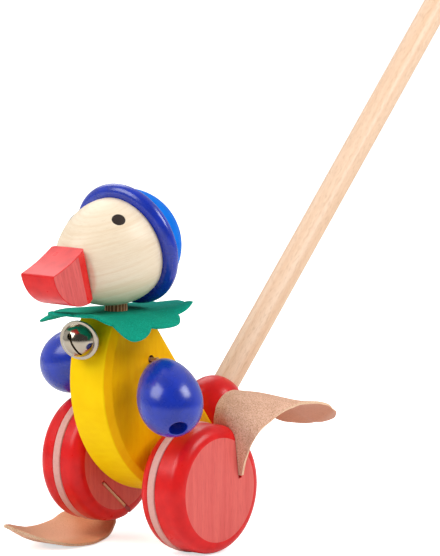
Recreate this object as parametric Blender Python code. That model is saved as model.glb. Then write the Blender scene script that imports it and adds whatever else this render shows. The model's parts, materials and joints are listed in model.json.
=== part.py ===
"""Wooden push-along duck with off-centre wheels, leather feet, bead wings, a bell and a push stick.

Units are metres and degrees, +Z is up, the duck faces -Y and +X is its left side. The toy is laid
out from the floor point under the middle of its axle. The duck_frame empty then moves the middle of
the whole toy's outline over the origin. Run with: blender --background --python part.py
"""

import math

import bmesh
import bpy
from mathutils import Euler, Vector

# Clearances
SEAT_GAP = 0.0003
AXLE_PLAY = 0.00015
MERGE_DISTANCE = 1e-6

# Wheels, tyres and axle
TYRE_RADIUS = 0.0361
TYRE_WIDTH = 0.0050
TYRE_PROUD = 0.0004
TYRE_GROOVE_DEPTH = 0.0016
TYRE_INBOARD = {"left": 0.0046, "right": -0.0004}
WHEEL_WIDTH = 0.0295
WHEEL_RIM_ROUNDING = 0.0069
WHEEL_OFF_CENTRE = 0.0051
WHEEL_MID = 0.03685
AXLE_DIAMETER = 0.008
AXLE_IN_WHEEL = 0.018
SPACER_DIAMETER = 0.016

# Body board, half of a thick disc with its straight side to the back and its top cut level
BODY_THICKNESS = 0.031
BODY_CHAMFER = 0.0036
BELLY_RADIUS = 0.0675
BELLY_CENTRE_BACK = 0.0158
BELLY_CENTRE_ABOVE_AXLE = 0.0552
BACK_SLOPE = 51.7
BACK_OFFSET = -0.0013
BODY_TOP = 0.0351

# Push stick and the ball on it
STICK_DIAMETER = 0.015
STICK_LENGTH = 0.520
STICK_SLOPE = 46.9
STICK_IN_BODY = 0.024
STICK_END_ROUNDING = 0.002
BALL_DIAMETER = 0.033
BALL_ALONG_BACK = 0.0428

# Neck dowel, from the middle of the body's flat top, and felt collar
NECK_DIAMETER = 0.0125
NECK_BACK = 0.0005
NECK_SHOWN = 0.0058
NECK_IN_BODY = 0.018
NECK_IN_HEAD = 0.014
NECK_FLUTES = 18
NECK_FLUTE_DEPTH = 0.0005
COLLAR_RADIUS = 0.042
COLLAR_THICKNESS = 0.0022
COLLAR_NOTCH = 0.0068
COLLAR_FLAT_RADIUS = 0.0195
COLLAR_FIRST_LOBE = 16.0
COLLAR_LOBE_DROOPS = (-0.0030, -0.0056, 0.0040, 0.0106, -0.003, -0.0025, 0.0052, 0.003, 0.005, 0.0)

# Head egg and cap, behind the neck's axis and along an axis that runs back and up from the beak
HEAD_TILT = 16.1
CAP_BACK = 0.0092
HEAD_RADIUS = 0.0285
HEAD_HALF_LENGTH = 0.0339
HEAD_GIRTH_BACK = -0.0189
HEAD_TAPER = 0.264
HEAD_FRONT = 0.0447
BRIM_RADIUS = 0.0349
BRIM_THICKNESS = 0.0084
CROWN_RADIUS = 0.0307
CROWN_HEIGHT = 0.0286
CAP_DOWEL_DIAMETER = 0.010
CAP_DOWEL_IN_HEAD = 0.012
CAP_DOWEL_IN_CROWN = 0.011
EYE_DIAMETER = 0.0074
EYE_DEPTH = 0.005
EYE_FORWARD = 0.0198
EYE_FROM_TOP = {"left": 35.4, "right": 43.5}

# Beak
BEAK_WIDTH = 0.024
BEAK_CHAMFER = 0.0022
BEAK_ROUND = 0.0237
BEAK_ROUND_FORWARD = 0.0048
BEAK_ROUND_RISE = 0.009
BEAK_TOP_RISE = 0.0156
BEAK_TOP_HOLLOW = 0.0009
BEAK_LIP_RADIUS = 0.0012
BEAK_DOWEL_DIAMETER = 0.008
BEAK_DOWEL_IN_HEAD = 0.014
BEAK_DOWEL_IN_BEAK = 0.012

# Bead wings and their cord: the hole from the belly's centre, each bead from its wheel's middle,
# the axle and the low wheel's top
WING_LENGTH = 0.048
WING_RADIUS = 0.0176
WING_TAPER = 0.16
WING_BORE = 0.003
WING_MOUTH = 0.010
WING_MOUTH_DEPTH = 0.013
WING_CORD_DIAMETER = 0.0022
WING_CORD_BREAK = 0.0008
WING_CORD_STUB = 0.0008
WING_KNOT_DIAMETER = 0.0066
WING_HOLE_DIAMETER = 0.003
WING_HOLE_MOUTH = 0.0046
WING_HOLE_MOUTH_DEPTH = 0.003
WING_HOLE_BACK = -0.0317
WING_HOLE_HEIGHT = 0.0106
WING_CENTRE = {"left": (0.00815, -0.0351, 0.0142), "right": (0.00515, -0.0103, 0.0247)}
WING_DIRECTION = {"left": (0.641, -0.395, -0.658), "right": (-0.88, -0.20, -0.43)}

# Bell on the chest, from the belly's centre
BELL_RADIUS = 0.0092
BELL_WALL = 0.0007
BELL_FLANGE_RADIUS = 0.0112
BELL_FLANGE_THICKNESS = 0.0006
BELL_RISE = 0.0241
BELL_YAW = 19.0
BELL_PITCH = -12.5
BELL_SLOT_WIDTH = 0.0012
BELL_SLOT_LENGTH = 0.0124
BELL_SLOT_LOW_END = 0.0072
BELL_SLOT_HOLE = 0.003
BELL_SLOT_ANGLE = -63.5
BELL_SHANK_DIAMETER = 0.003
BELL_SHANK_HEAD = 0.005
BELL_SHANK_IN_CHEST = 0.008
BELL_PELLET_DIAMETER = 0.006

# Leather feet: the slots from their wheel's centre, each route from its slot's mouth as (back, up), and
# tables along the leather of its edges from the wheel's middle and of how far each edge sags or rises
LEATHER = 0.0018
FOOT_SLOT_LENGTH = {"left": 0.0285, "right": 0.0340}
FOOT_SLOT_ANGLE = {"left": 97.9, "right": -39.6}
FOOT_SLOT_SPARE = 0.0018
FOOT_MOUTH_ANGLE = {"left": 69.7, "right": -68.5}
FOOT_MOUTH_CLEAR = 0.0010
FOOT_TONGUE = 0.023
FOOT_NOTCH_WALL = 0.0014
FOOT_ROW_SPACING = 0.0042
FOOT_INNER_COLUMNS = 3
FOOT_OUTER_COLUMNS = 4
FOOT_ROUTE = {
    "left": ((0.0009, 0.0050), (0.0049, 0.0095), (0.0129, 0.0129), (0.0227, 0.0140), (0.0333, 0.0124),
             (0.0449, 0.0086), (0.0572, 0.0032), (0.0698, -0.0032), (0.0800, -0.0078), (0.0905, -0.0066)),
    "right": ((0.0010, -0.0033), (-0.0030, -0.0068), (-0.0116, -0.0099), (-0.0252, -0.01055),
              (-0.0382, -0.0105), (-0.0526, -0.0094), (-0.0676, -0.0052), (-0.0836, 0.0032),
              (-0.0896, 0.0070)),
}
FOOT_OUTER = {
    "left": ((0.000, 0.0167), (0.012, 0.0208), (0.021, 0.0234), (0.028, 0.0256), (0.042, 0.0282),
             (0.052, 0.0290), (0.064, 0.0290), (0.077, 0.0280), (0.091, 0.0272), (0.104, 0.0260),
             (0.114, 0.0234), (0.122, 0.0194), (0.128, 0.0146), (0.132, 0.0100)),
    "right": ((0.000, 0.0167), (0.012, 0.0212), (0.021, 0.0242), (0.028, 0.0262), (0.042, 0.0282),
              (0.052, 0.0290), (0.064, 0.0290), (0.075, 0.0276), (0.086, 0.0248), (0.097, 0.0210),
              (0.110, 0.0154), (0.120, 0.0112), (0.126, 0.0088)),
}
FOOT_INNER = {
    "left": ((0.042, -0.0029), (0.052, -0.0058), (0.064, -0.0089), (0.077, -0.0108), (0.091, -0.0104),
             (0.104, -0.0074), (0.114, -0.0024), (0.122, 0.0032), (0.128, 0.0074), (0.132, 0.0094)),
    "right": ((0.038, 0.0012), (0.043, -0.0009), (0.052, -0.0049), (0.066, -0.0109), (0.079, -0.0144),
              (0.093, -0.0134), (0.102, -0.0102), (0.110, -0.0050), (0.118, 0.0010), (0.126, 0.0080)),
}
FOOT_INNER_FROM = 0.034
FOOT_FOLD = ((0.020, 0.0148), (0.0285, 0.0087), (0.036, 0.0032), (0.055, 0.0032), (0.085, 0.0062))
FOOT_SPINE = 0.0062
FOOT_SPINE_REACH = 0.020
FOOT_OUTER_SAG = {
    "left": ((0.0080, 0.0), (0.0160, 0.0022), (0.0210, 0.0040), (0.0285, 0.0076), (0.0345, 0.0104),
             (0.0410, 0.0118), (0.0505, 0.0106), (0.0625, 0.0080), (0.0730, 0.0038), (0.0850, -0.0009),
             (0.0980, -0.0052), (0.1110, -0.0082), (0.1220, -0.0080), (0.1280, -0.0048),
             (0.1320, -0.0010)),
    "right": ((0.038, 0.0), (0.045, -0.0055), (0.051, -0.0090), (0.061, -0.0064), (0.073, -0.0054),
              (0.086, -0.0058), (0.097, -0.0066), (0.110, -0.0056), (0.120, -0.0026), (0.126, 0.0)),
}
FOOT_INNER_SAG = {
    "left": ((0.0340, 0.0), (0.0410, 0.0010), (0.0505, 0.0006), (0.0625, 0.0006), (0.0730, 0.0022),
             (0.0850, 0.0058), (0.0980, 0.0092), (0.1090, 0.0112), (0.1210, 0.0094), (0.1320, 0.0)),
    "right": ((0.034, 0.0), (0.126, 0.0)),
}
FOOT_SAG_RUN = (0.66, -0.75)
FOOT_RISE_RUN = (0.25, -0.95)


def egg_radius(height, radius, half_length, taper):
    """Radius of an egg at a height from its middle. A taper above zero puts the broad end up."""
    share = height / half_length
    return radius * math.sqrt(max(0.0, 1 - share * share)) * (1 + taper * share)


def head_radius(height):
    """Radius of the head egg at a height along its axis from the brim's middle."""
    return egg_radius(height - HEAD_GIRTH_BACK, HEAD_RADIUS, HEAD_HALF_LENGTH, HEAD_TAPER)


def head_drop():
    """How far the head's underside, on the neck's axis, lies below the brim's middle."""
    height = -CAP_BACK / HEAD_AXIS.y
    for _ in range(12):
        height = (head_radius(height) * HEAD_UP.y - CAP_BACK) / HEAD_AXIS.y
    return head_radius(height) * HEAD_UP.z - height * HEAD_AXIS.z


# Values worked out from the driving dimensions
AXLE_HEIGHT = TYRE_RADIUS + WHEEL_OFF_CENTRE
WHEEL_RADIUS = TYRE_RADIUS - TYRE_PROUD
WHEEL_INNER_FACE = WHEEL_MID - WHEEL_WIDTH / 2
BODY_SIDE = BODY_THICKNESS / 2
BELLY_CENTRE = Vector((0.0, BELLY_CENTRE_BACK, AXLE_HEIGHT + BELLY_CENTRE_ABOVE_AXLE))
BACK_NORMAL = Vector((0.0, math.sin(math.radians(BACK_SLOPE)), math.cos(math.radians(BACK_SLOPE))))
BACK_RUN = Vector((0.0, math.cos(math.radians(BACK_SLOPE)), -math.sin(math.radians(BACK_SLOPE))))
TOP_HEIGHT = BELLY_CENTRE.z + BODY_TOP
TOP_FRONT = BELLY_CENTRE.y - math.sqrt(BELLY_RADIUS ** 2 - BODY_TOP ** 2)
TOP_ALONG_BACK = (BODY_TOP - BACK_NORMAL.z * BACK_OFFSET) / BACK_RUN.z
TOP_REAR = BELLY_CENTRE.y + BACK_NORMAL.y * BACK_OFFSET + BACK_RUN.y * TOP_ALONG_BACK
NECK_FOOT = Vector((0.0, (TOP_FRONT + TOP_REAR) / 2 + NECK_BACK, TOP_HEIGHT))
HEAD_BOTTOM = TOP_HEIGHT + NECK_SHOWN
BALL_CENTRE = (BELLY_CENTRE + BACK_RUN * BALL_ALONG_BACK
               + BACK_NORMAL * (BACK_OFFSET + BALL_DIAMETER / 2 + SEAT_GAP))
STICK_RUN = Vector((0.0, math.cos(math.radians(STICK_SLOPE)), math.sin(math.radians(STICK_SLOPE))))
STICK_BACK_CROSSING = (BALL_DIAMETER / 2 + SEAT_GAP) / STICK_RUN.dot(BACK_NORMAL)
STICK_START = BALL_CENTRE - STICK_RUN * (STICK_BACK_CROSSING + STICK_IN_BODY)
HEAD_AXIS = Vector((0.0, math.cos(math.radians(HEAD_TILT)), math.sin(math.radians(HEAD_TILT))))
HEAD_UP = Vector((0.0, -math.sin(math.radians(HEAD_TILT)), math.cos(math.radians(HEAD_TILT))))
CAP_HEIGHT = HEAD_BOTTOM + head_drop()
CAP_CENTRE = Vector((0.0, NECK_FOOT.y + CAP_BACK, CAP_HEIGHT))
HEAD_REAR = -BRIM_THICKNESS / 2 - SEAT_GAP
BEAK_BACK = -HEAD_FRONT - SEAT_GAP
BEAK_TIP = CAP_CENTRE + HEAD_AXIS * (BEAK_BACK - BEAK_ROUND_FORWARD - BEAK_ROUND) + HEAD_UP * BEAK_ROUND_RISE
STICK_END = STICK_START + STICK_RUN * STICK_LENGTH
WING_HOLE = BELLY_CENTRE + Vector((0.0, WING_HOLE_BACK, WING_HOLE_HEIGHT))
WHEEL_TOP = AXLE_HEIGHT + TYRE_RADIUS
FRAME_SHIFT = -(BEAK_TIP.y + STICK_END.y + STICK_DIAMETER / 2 * STICK_RUN.z) / 2

PAINTS = {
    "natural_beech": ("#E3BE96", 0.5, 0.0),
    "natural_maple": ("#EDD9BC", 0.45, 0.0),
    "red_lacquer": ("#D5221F", 0.3, 0.0),
    "yellow_lacquer": ("#F7D208", 0.35, 0.0),
    "blue_lacquer": ("#1F34B0", 0.25, 0.0),
    "sky_lacquer": ("#0A84F0", 0.3, 0.0),
    "black_lacquer": ("#2A2422", 0.4, 0.0),
    "green_felt": ("#0A9C82", 0.95, 0.0),
    "tan_leather": ("#D9A07C", 0.8, 0.0),
    "pale_rubber": ("#D9A59B", 0.7, 0.0),
    "cream_cord": ("#E0CFB0", 0.9, 0.0),
    "nickel": ("#D8D6D0", 0.2, 1.0),
}


def linear_colour(code):
    """Linear RGBA of an sRGB hex code."""
    channels = [int(code[i:i + 2], 16) / 255 for i in (1, 3, 5)]
    return [c / 12.92 if c <= 0.04045 else ((c + 0.055) / 1.055) ** 2.4 for c in channels] + [1.0]


def paint(name):
    """The named finish as a Principled material, made on first use."""
    made = bpy.data.materials.get(name)
    if made:
        return made
    code, roughness, metallic = PAINTS[name]
    made = bpy.data.materials.new(name)
    made.use_nodes = True
    shader = made.node_tree.nodes["Principled BSDF"]
    shader.inputs["Base Color"].default_value = linear_colour(code)
    shader.inputs["Roughness"].default_value = roughness
    shader.inputs["Metallic"].default_value = metallic
    return made


def empty(name, parent, location, rotation=(0.0, 0.0, 0.0)):
    """An empty that carries a sub-assembly, or marks a joint's axis."""
    made = bpy.data.objects.new(name, None)
    bpy.context.scene.collection.objects.link(made)
    made.parent = parent
    made.location = location
    made.rotation_euler = rotation
    return made


def piece(name, data, parent, finish, location=(0.0, 0.0, 0.0), rotation=(0.0, 0.0, 0.0)):
    """A named solid in its parent's frame."""
    made = bpy.data.objects.new(name, data)
    bpy.context.scene.collection.objects.link(made)
    made.parent = parent
    made.location = location
    made.rotation_euler = rotation
    made.data.materials.append(paint(finish))
    return made


def cut(target, name, mesh, parent, location=(0.0, 0.0, 0.0), rotation=(0.0, 0.0, 0.0)):
    """Takes a hidden cutter out of a solid."""
    cutter = bpy.data.objects.new(name, mesh)
    bpy.context.scene.collection.objects.link(cutter)
    cutter.parent = parent
    cutter.location = location
    cutter.rotation_euler = rotation
    cutter.hide_render = True
    cutter.display_type = "WIRE"
    boolean = target.modifiers.new(name, "BOOLEAN")
    boolean.operation = "DIFFERENCE"
    boolean.object = cutter


def towards(direction):
    """Rotation that turns local +Z to a direction."""
    return Vector(direction).to_track_quat("Z", "Y").to_euler()


def mesh_from(name, shape, smooth=True):
    """Mesh of a bmesh, faces turned outwards, shaded smooth apart from its sharp edges."""
    bmesh.ops.recalc_face_normals(shape, faces=shape.faces[:])
    mesh = bpy.data.meshes.new(name)
    shape.to_mesh(mesh)
    shape.free()
    if smooth:
        mesh.shade_smooth()
        mesh.set_sharp_from_angle(angle=math.radians(35))
    return mesh


def turned(name, profile, segments=48, ring=False):
    """Solid turned about local Z from (radius, height) points. A ring's last point joins its first."""
    shape = bmesh.new()
    points = [shape.verts.new((radius, 0.0, height)) for radius, height in profile]
    edges = [shape.edges.new(ends) for ends in zip(points, points[1:])]
    if ring:
        edges.append(shape.edges.new((points[-1], points[0])))
    bmesh.ops.spin(shape, geom=points + edges, axis=(0, 0, 1), cent=(0, 0, 0), angle=2 * math.pi,
                   steps=segments, use_merge=True)
    bmesh.ops.remove_doubles(shape, verts=shape.verts[:], dist=MERGE_DISTANCE)
    return mesh_from(name, shape)


def dowel(name, radius, low, high, segments=32, rounding=0.0):
    """Round peg along local Z between two heights, with its upper edge rounded."""
    profile = [(0.0, low), (radius, low)]
    if rounding:
        profile += arc((radius - rounding, high - rounding), rounding, 0, 90, 3)
    else:
        profile.append((radius, high))
    return turned(name, profile + [(0.0, high)], segments)


def arc(centre, radius, start, end, steps):
    """Points on an arc about a centre, between two angles in degrees."""
    angles = [math.radians(start + (end - start) * i / steps) for i in range(steps + 1)]
    return [(centre[0] + radius * math.cos(a), centre[1] + radius * math.sin(a)) for a in angles]


def extruded(name, outline, half_width, chamfer=0.0):
    """Board with an outline of (y, z) points, square to X, with chamfered rims."""
    shape = bmesh.new()
    rims = []
    for x in (-half_width, half_width):
        rim = [shape.verts.new((x, y, z)) for y, z in outline]
        shape.faces.new(rim)
        rims.append(rim)
    count = len(outline)
    for i in range(count):
        k = (i + 1) % count
        shape.faces.new((rims[0][i], rims[0][k], rims[1][k], rims[1][i]))
    if chamfer:
        edges = [shape.edges.get((rim[i], rim[(i + 1) % count])) for rim in rims for i in range(count)]
        bmesh.ops.bevel(shape, geom=edges, offset=chamfer, segments=1, affect="EDGES")
    return mesh_from(name, shape)


def smooth_point(points, share):
    """Point at a share of a smooth curve through evenly weighted points."""
    place = min(share, 1 - 1e-9) * (len(points) - 1)
    i = int(place)
    t = place - i
    a, b, c, d = (Vector(points[min(max(k, 0), len(points) - 1)]) for k in (i - 1, i, i + 1, i + 2))
    curve = (2 * a - 5 * b + 4 * c - d) * t ** 2 + (3 * b - a - 3 * c + d) * t ** 3
    return 0.5 * (2 * b + (c - a) * t + curve)


def along(points, length):
    """Point at a length along a smooth curve through points."""
    samples = [smooth_point(points, i / 120) for i in range(121)]
    for before, after in zip(samples, samples[1:]):
        step = (after - before).length
        if length <= step:
            return before.lerp(after, length / step)
        length -= step
    return samples[-1]


def between(table, key):
    """Value of a smooth curve through a table of (key, value) rows, held past both ends."""
    if key <= table[0][0]:
        return table[0][1]
    if key >= table[-1][0]:
        return table[-1][1]
    last = len(table) - 1
    i = next(k for k in range(last) if key <= table[k + 1][0])
    slopes = []
    for k in (i, i + 1):
        before, after = table[max(k - 1, 0)], table[min(k + 1, last)]
        slopes.append((after[1] - before[1]) / (after[0] - before[0]))
    span = table[i + 1][0] - table[i][0]
    t = (key - table[i][0]) / span
    rise = t * t * (3 - 2 * t)
    bend = span * (slopes[0] * t * (1 - t) ** 2 - slopes[1] * t * t * (1 - t))
    return table[i][1] + (table[i + 1][1] - table[i][1]) * rise + bend


def tube(name, parent, finish, points, diameter):
    """Cord as a curve with a round section and closed ends."""
    curve = bpy.data.curves.new(name, "CURVE")
    curve.dimensions = "3D"
    curve.bevel_depth = diameter / 2
    curve.bevel_resolution = 2
    curve.use_fill_caps = True
    spline = curve.splines.new("POLY")
    spline.points.add(len(points) - 1)
    for target, point in zip(spline.points, points):
        target.co = (*point, 1.0)
    return piece(name, curve, parent, finish)


def build_body(frame):
    """Half-disc board with its bores, on the duck's middle plane."""
    start = 180 - math.degrees(math.asin(BODY_TOP / BELLY_RADIUS))
    tail_run = math.sqrt(BELLY_RADIUS ** 2 - BACK_OFFSET ** 2)
    tail = BACK_RUN * tail_run + BACK_NORMAL * BACK_OFFSET
    end = 360 + math.degrees(math.atan2(tail.z, tail.y))
    outline = arc((BELLY_CENTRE.y, BELLY_CENTRE.z), BELLY_RADIUS, start, end, 44)
    outline.append((TOP_REAR, TOP_HEIGHT))
    board = extruded("body_board", outline, BODY_SIDE, BODY_CHAMFER)
    body = piece("body_board", board, frame, "yellow_lacquer")

    across = (0.0, math.pi / 2, 0.0)
    past = BODY_SIDE * 1.2
    axle_hole = dowel("axle_hole", AXLE_DIAMETER / 2 + AXLE_PLAY, -past, past, 48)
    cut(body, "axle_hole", axle_hole, frame, (0.0, 0.0, AXLE_HEIGHT), across)
    mouth = WING_HOLE_MOUTH / 2
    inner = WING_HOLE_DIAMETER / 2
    waist = BODY_SIDE - WING_HOLE_MOUTH_DEPTH
    flare = mouth + (mouth - inner) * (past - BODY_SIDE) / WING_HOLE_MOUTH_DEPTH
    cord_hole = [(0.0, -past), (flare, -past), (inner, -waist), (inner, waist), (flare, past), (0.0, past)]
    cut(body, "cord_hole", turned("cord_hole", cord_hole, 24), frame, WING_HOLE, across)
    stick_bore = STICK_DIAMETER / 2 + SEAT_GAP
    stick_socket = dowel("stick_socket", stick_bore, -SEAT_GAP, STICK_IN_BODY + BALL_DIAMETER)
    cut(body, "stick_socket", stick_socket, frame, STICK_START, towards(STICK_RUN))
    neck_socket = dowel("neck_socket", NECK_DIAMETER / 2 + SEAT_GAP, -NECK_IN_BODY - SEAT_GAP, NECK_IN_BODY)
    cut(body, "neck_socket", neck_socket, frame, NECK_FOOT)
    return body


def build_stick(frame):
    """Ball seated on the straight back, and the stick glued through it into the body."""
    bore = STICK_DIAMETER / 2 + SEAT_GAP
    radius = BALL_DIAMETER / 2
    bore_angle = math.degrees(math.acos(bore / radius))
    ball = turned("tail_ball", arc((0.0, 0.0), radius, -bore_angle, bore_angle, 11), 32, ring=True)
    piece("tail_ball", ball, frame, "red_lacquer", BALL_CENTRE, towards(STICK_RUN))
    piece("push_stick", dowel("push_stick", STICK_DIAMETER / 2, 0.0, STICK_LENGTH, 32, STICK_END_ROUNDING),
          frame, "natural_beech", STICK_START, towards(STICK_RUN))


def build_neck(frame):
    """Fluted dowel glued upright into the body and the head."""
    outer = NECK_DIAMETER / 2
    rim = []
    for i in range(2 * NECK_FLUTES):
        radius = outer - NECK_FLUTE_DEPTH * (i % 2)
        angle = math.pi * i / NECK_FLUTES
        rim.append((radius * math.cos(angle), radius * math.sin(angle), -NECK_IN_BODY))
    shape = bmesh.new()
    base = shape.faces.new([shape.verts.new(point) for point in rim])
    grown = bmesh.ops.extrude_face_region(shape, geom=[base])["geom"]
    reach = NECK_IN_BODY + NECK_SHOWN + NECK_IN_HEAD
    moved = [v for v in grown if isinstance(v, bmesh.types.BMVert)]
    bmesh.ops.translate(shape, verts=moved, vec=(0.0, 0.0, reach))
    dowel_mesh = mesh_from("neck_dowel", shape, smooth=False)
    piece("neck_dowel", dowel_mesh, frame, "natural_beech", NECK_FOOT)


def collar_edge(angle):
    """Reach of the scalloped edge at an angle in degrees, measured from the back towards the left."""
    lobe = abs(math.cos(math.radians(angle - COLLAR_FIRST_LOBE) * len(COLLAR_LOBE_DROOPS) / 2))
    return COLLAR_RADIUS - COLLAR_NOTCH * (1 - lobe ** 0.7)


def collar_droop(angle):
    """How far the collar's edge hangs at an angle in degrees."""
    count = len(COLLAR_LOBE_DROOPS)
    place = (angle - COLLAR_FIRST_LOBE) / 360 * count
    i = math.floor(place)
    share = place - i
    ease = share * share * (3 - 2 * share)
    first, second = COLLAR_LOBE_DROOPS[i % count], COLLAR_LOBE_DROOPS[(i + 1) % count]
    return first + (second - first) * ease


def build_collar(frame):
    """Scalloped felt ring on the body's flat top, its lobes hanging or standing by turns."""
    steps = 8 * len(COLLAR_LOBE_DROOPS)
    hole = NECK_DIAMETER / 2 + SEAT_GAP
    shares = (0.0, 0.36, 0.6, 0.82, 1.0)
    shape = bmesh.new()
    rings = []
    for share in shares:
        ring = []
        for i in range(steps):
            angle = 360 * i / steps
            reach = hole + (collar_edge(angle) - hole) * share
            hang = max(0.0, (reach - COLLAR_FLAT_RADIUS) / (COLLAR_RADIUS - COLLAR_FLAT_RADIUS)) ** 1.3
            turn = math.radians(angle)
            height = SEAT_GAP + COLLAR_THICKNESS / 2 - collar_droop(angle) * hang
            ring.append(shape.verts.new((reach * math.sin(turn), reach * math.cos(turn), height)))
        rings.append(ring)
    for inner, outer in zip(rings, rings[1:]):
        for i in range(steps):
            k = (i + 1) % steps
            shape.faces.new((inner[i], outer[i], outer[k], inner[k]))
    collar = piece("collar", mesh_from("collar", shape), frame, "green_felt", NECK_FOOT)
    thicken(collar, COLLAR_THICKNESS)


def thicken(target, thickness):
    """Gives an open sheet its thickness, half to each side."""
    solidify = target.modifiers.new("thickness", "SOLIDIFY")
    solidify.thickness = thickness
    solidify.offset = 0.0


def build_head(frame):
    """Egg head, eye plugs, beak and two-part cap along the tilted head axis."""
    tilted = (math.radians(HEAD_TILT - 90), 0.0, 0.0)
    head_frame = empty("head_frame", frame, CAP_CENTRE, tilted)
    beak_hole = BEAK_DOWEL_DIAMETER / 2 + SEAT_GAP
    cap_hole = CAP_DOWEL_DIAMETER / 2 + SEAT_GAP
    steps = 12
    heights = [-HEAD_FRONT + (HEAD_REAR + HEAD_FRONT) * (i / steps) ** 0.8 for i in range(steps + 1)]
    egg = [(head_radius(h), h) for h in heights]
    front_floor = -HEAD_FRONT + BEAK_DOWEL_IN_HEAD + SEAT_GAP
    rear_floor = HEAD_REAR - CAP_DOWEL_IN_HEAD - SEAT_GAP
    profile = [(0.0, front_floor), (beak_hole, front_floor), (beak_hole, -HEAD_FRONT), *egg,
               (cap_hole, HEAD_REAR), (cap_hole, rear_floor), (0.0, rear_floor)]
    head = piece("head", turned("head", profile, 40), head_frame, "natural_maple")
    neck_hole = dowel("neck_hole", NECK_DIAMETER / 2 + SEAT_GAP, -NECK_IN_HEAD, NECK_IN_HEAD + SEAT_GAP)
    cut(head, "neck_hole", neck_hole, frame, (0.0, NECK_FOOT.y, HEAD_BOTTOM))
    for side, sign in (("left", 1), ("right", -1)):
        build_eye(head, head_frame, side, sign)
    build_beak(head_frame)
    build_cap(head_frame)


def build_eye(head, head_frame, side, sign):
    """Dark round plug, flush with the egg and square to its surface."""
    height = -EYE_FORWARD
    step = EYE_DIAMETER / 16
    radius = head_radius(height)
    slope = (head_radius(height + step) - radius) / step
    turn = math.radians(EYE_FROM_TOP[side])
    out = Vector((sign * math.sin(turn), -math.cos(turn), 0.0))
    place = out * radius + Vector((0.0, 0.0, height))
    normal = (out - Vector((0.0, 0.0, slope))).normalized()
    hole = dowel("eye_hole", EYE_DIAMETER / 2 + SEAT_GAP / 2, -EYE_DEPTH - SEAT_GAP, EYE_DEPTH, 24)
    cut(head, f"eye_hole_{side}", hole, head_frame, place, towards(normal))
    plug = dowel(f"eye_{side}", EYE_DIAMETER / 2, -EYE_DEPTH, 0.0, 24, EYE_DIAMETER / 12)
    piece(f"eye_{side}", plug, head_frame, "black_lacquer", place, towards(normal))


def build_beak(head_frame):
    """Beak block: flat sides, a hollowed top, a round underside and a dowel into the head."""
    front = BEAK_BACK - BEAK_ROUND_FORWARD - BEAK_ROUND
    lip = BEAK_LIP_RADIUS
    top = []
    for i in range(8):
        share = i / 8
        rise = BEAK_TOP_RISE + (BEAK_ROUND_RISE + lip - BEAK_TOP_RISE) * share
        rise -= BEAK_TOP_HOLLOW * math.sin(math.pi * share)
        top.append((BEAK_BACK + (front + lip - BEAK_BACK) * share, rise))
    tip = arc((front + lip, BEAK_ROUND_RISE), lip, 90, 180, 3)
    under = arc((BEAK_BACK - BEAK_ROUND_FORWARD, BEAK_ROUND_RISE), BEAK_ROUND, 182, 270, 14)
    outline = [*top, *tip, *under, (BEAK_BACK, BEAK_ROUND_RISE - BEAK_ROUND + BEAK_CHAMFER / 3)]
    half = BEAK_WIDTH / 2
    shape = bmesh.new()
    rims = [[shape.verts.new((x, -rise, height)) for height, rise in outline] for x in (-half, half)]
    for rim in rims:
        shape.faces.new(rim)
    for i in range(len(outline)):
        k = (i + 1) % len(outline)
        shape.faces.new((rims[0][i], rims[0][k], rims[1][k], rims[1][i]))
    back_edges = [shape.edges.get((rim[-1], rim[0])) for rim in rims]
    bmesh.ops.bevel(shape, geom=back_edges, offset=BEAK_CHAMFER, segments=1, affect="EDGES")
    beak = piece("beak", mesh_from("beak", shape), head_frame, "red_lacquer")
    radius = BEAK_DOWEL_DIAMETER / 2
    depth = BEAK_DOWEL_IN_BEAK
    hole = dowel("beak_hole", radius + SEAT_GAP, -depth - SEAT_GAP, depth)
    cut(beak, "beak_hole", hole, head_frame, (0.0, 0.0, BEAK_BACK))
    peg = dowel("beak_dowel", radius, BEAK_BACK - depth, BEAK_DOWEL_IN_HEAD - HEAD_FRONT)
    piece("beak_dowel", peg, head_frame, "natural_beech")


def build_cap(head_frame):
    """Round-edged brim disc behind the egg, and the domed crown behind the brim."""
    half = BRIM_THICKNESS / 2
    hole = CAP_DOWEL_DIAMETER / 2 + SEAT_GAP
    brim = [(hole, -half), *arc((BRIM_RADIUS - half, 0.0), half, -90, 90, 8), (hole, half)]
    piece("cap_brim", turned("cap_brim", brim, 48, ring=True), head_frame, "blue_lacquer")
    base = half + SEAT_GAP
    floor = base + CAP_DOWEL_IN_CROWN + SEAT_GAP
    start = math.asin(base / CROWN_HEIGHT)
    dome = []
    for i in range(11):
        angle = start + (math.pi / 2 - start) * i / 10
        dome.append((CROWN_RADIUS * math.cos(angle), CROWN_HEIGHT * math.sin(angle)))
    dome[-1] = (0.0, CROWN_HEIGHT)
    crown = [(0.0, floor), (hole, floor), (hole, base), *dome]
    piece("cap_crown", turned("cap_crown", crown, 40), head_frame, "sky_lacquer")
    peg = dowel("cap_dowel", CAP_DOWEL_DIAMETER / 2, HEAD_REAR - CAP_DOWEL_IN_HEAD, base + CAP_DOWEL_IN_CROWN)
    piece("cap_dowel", peg, head_frame, "natural_beech")


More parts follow.
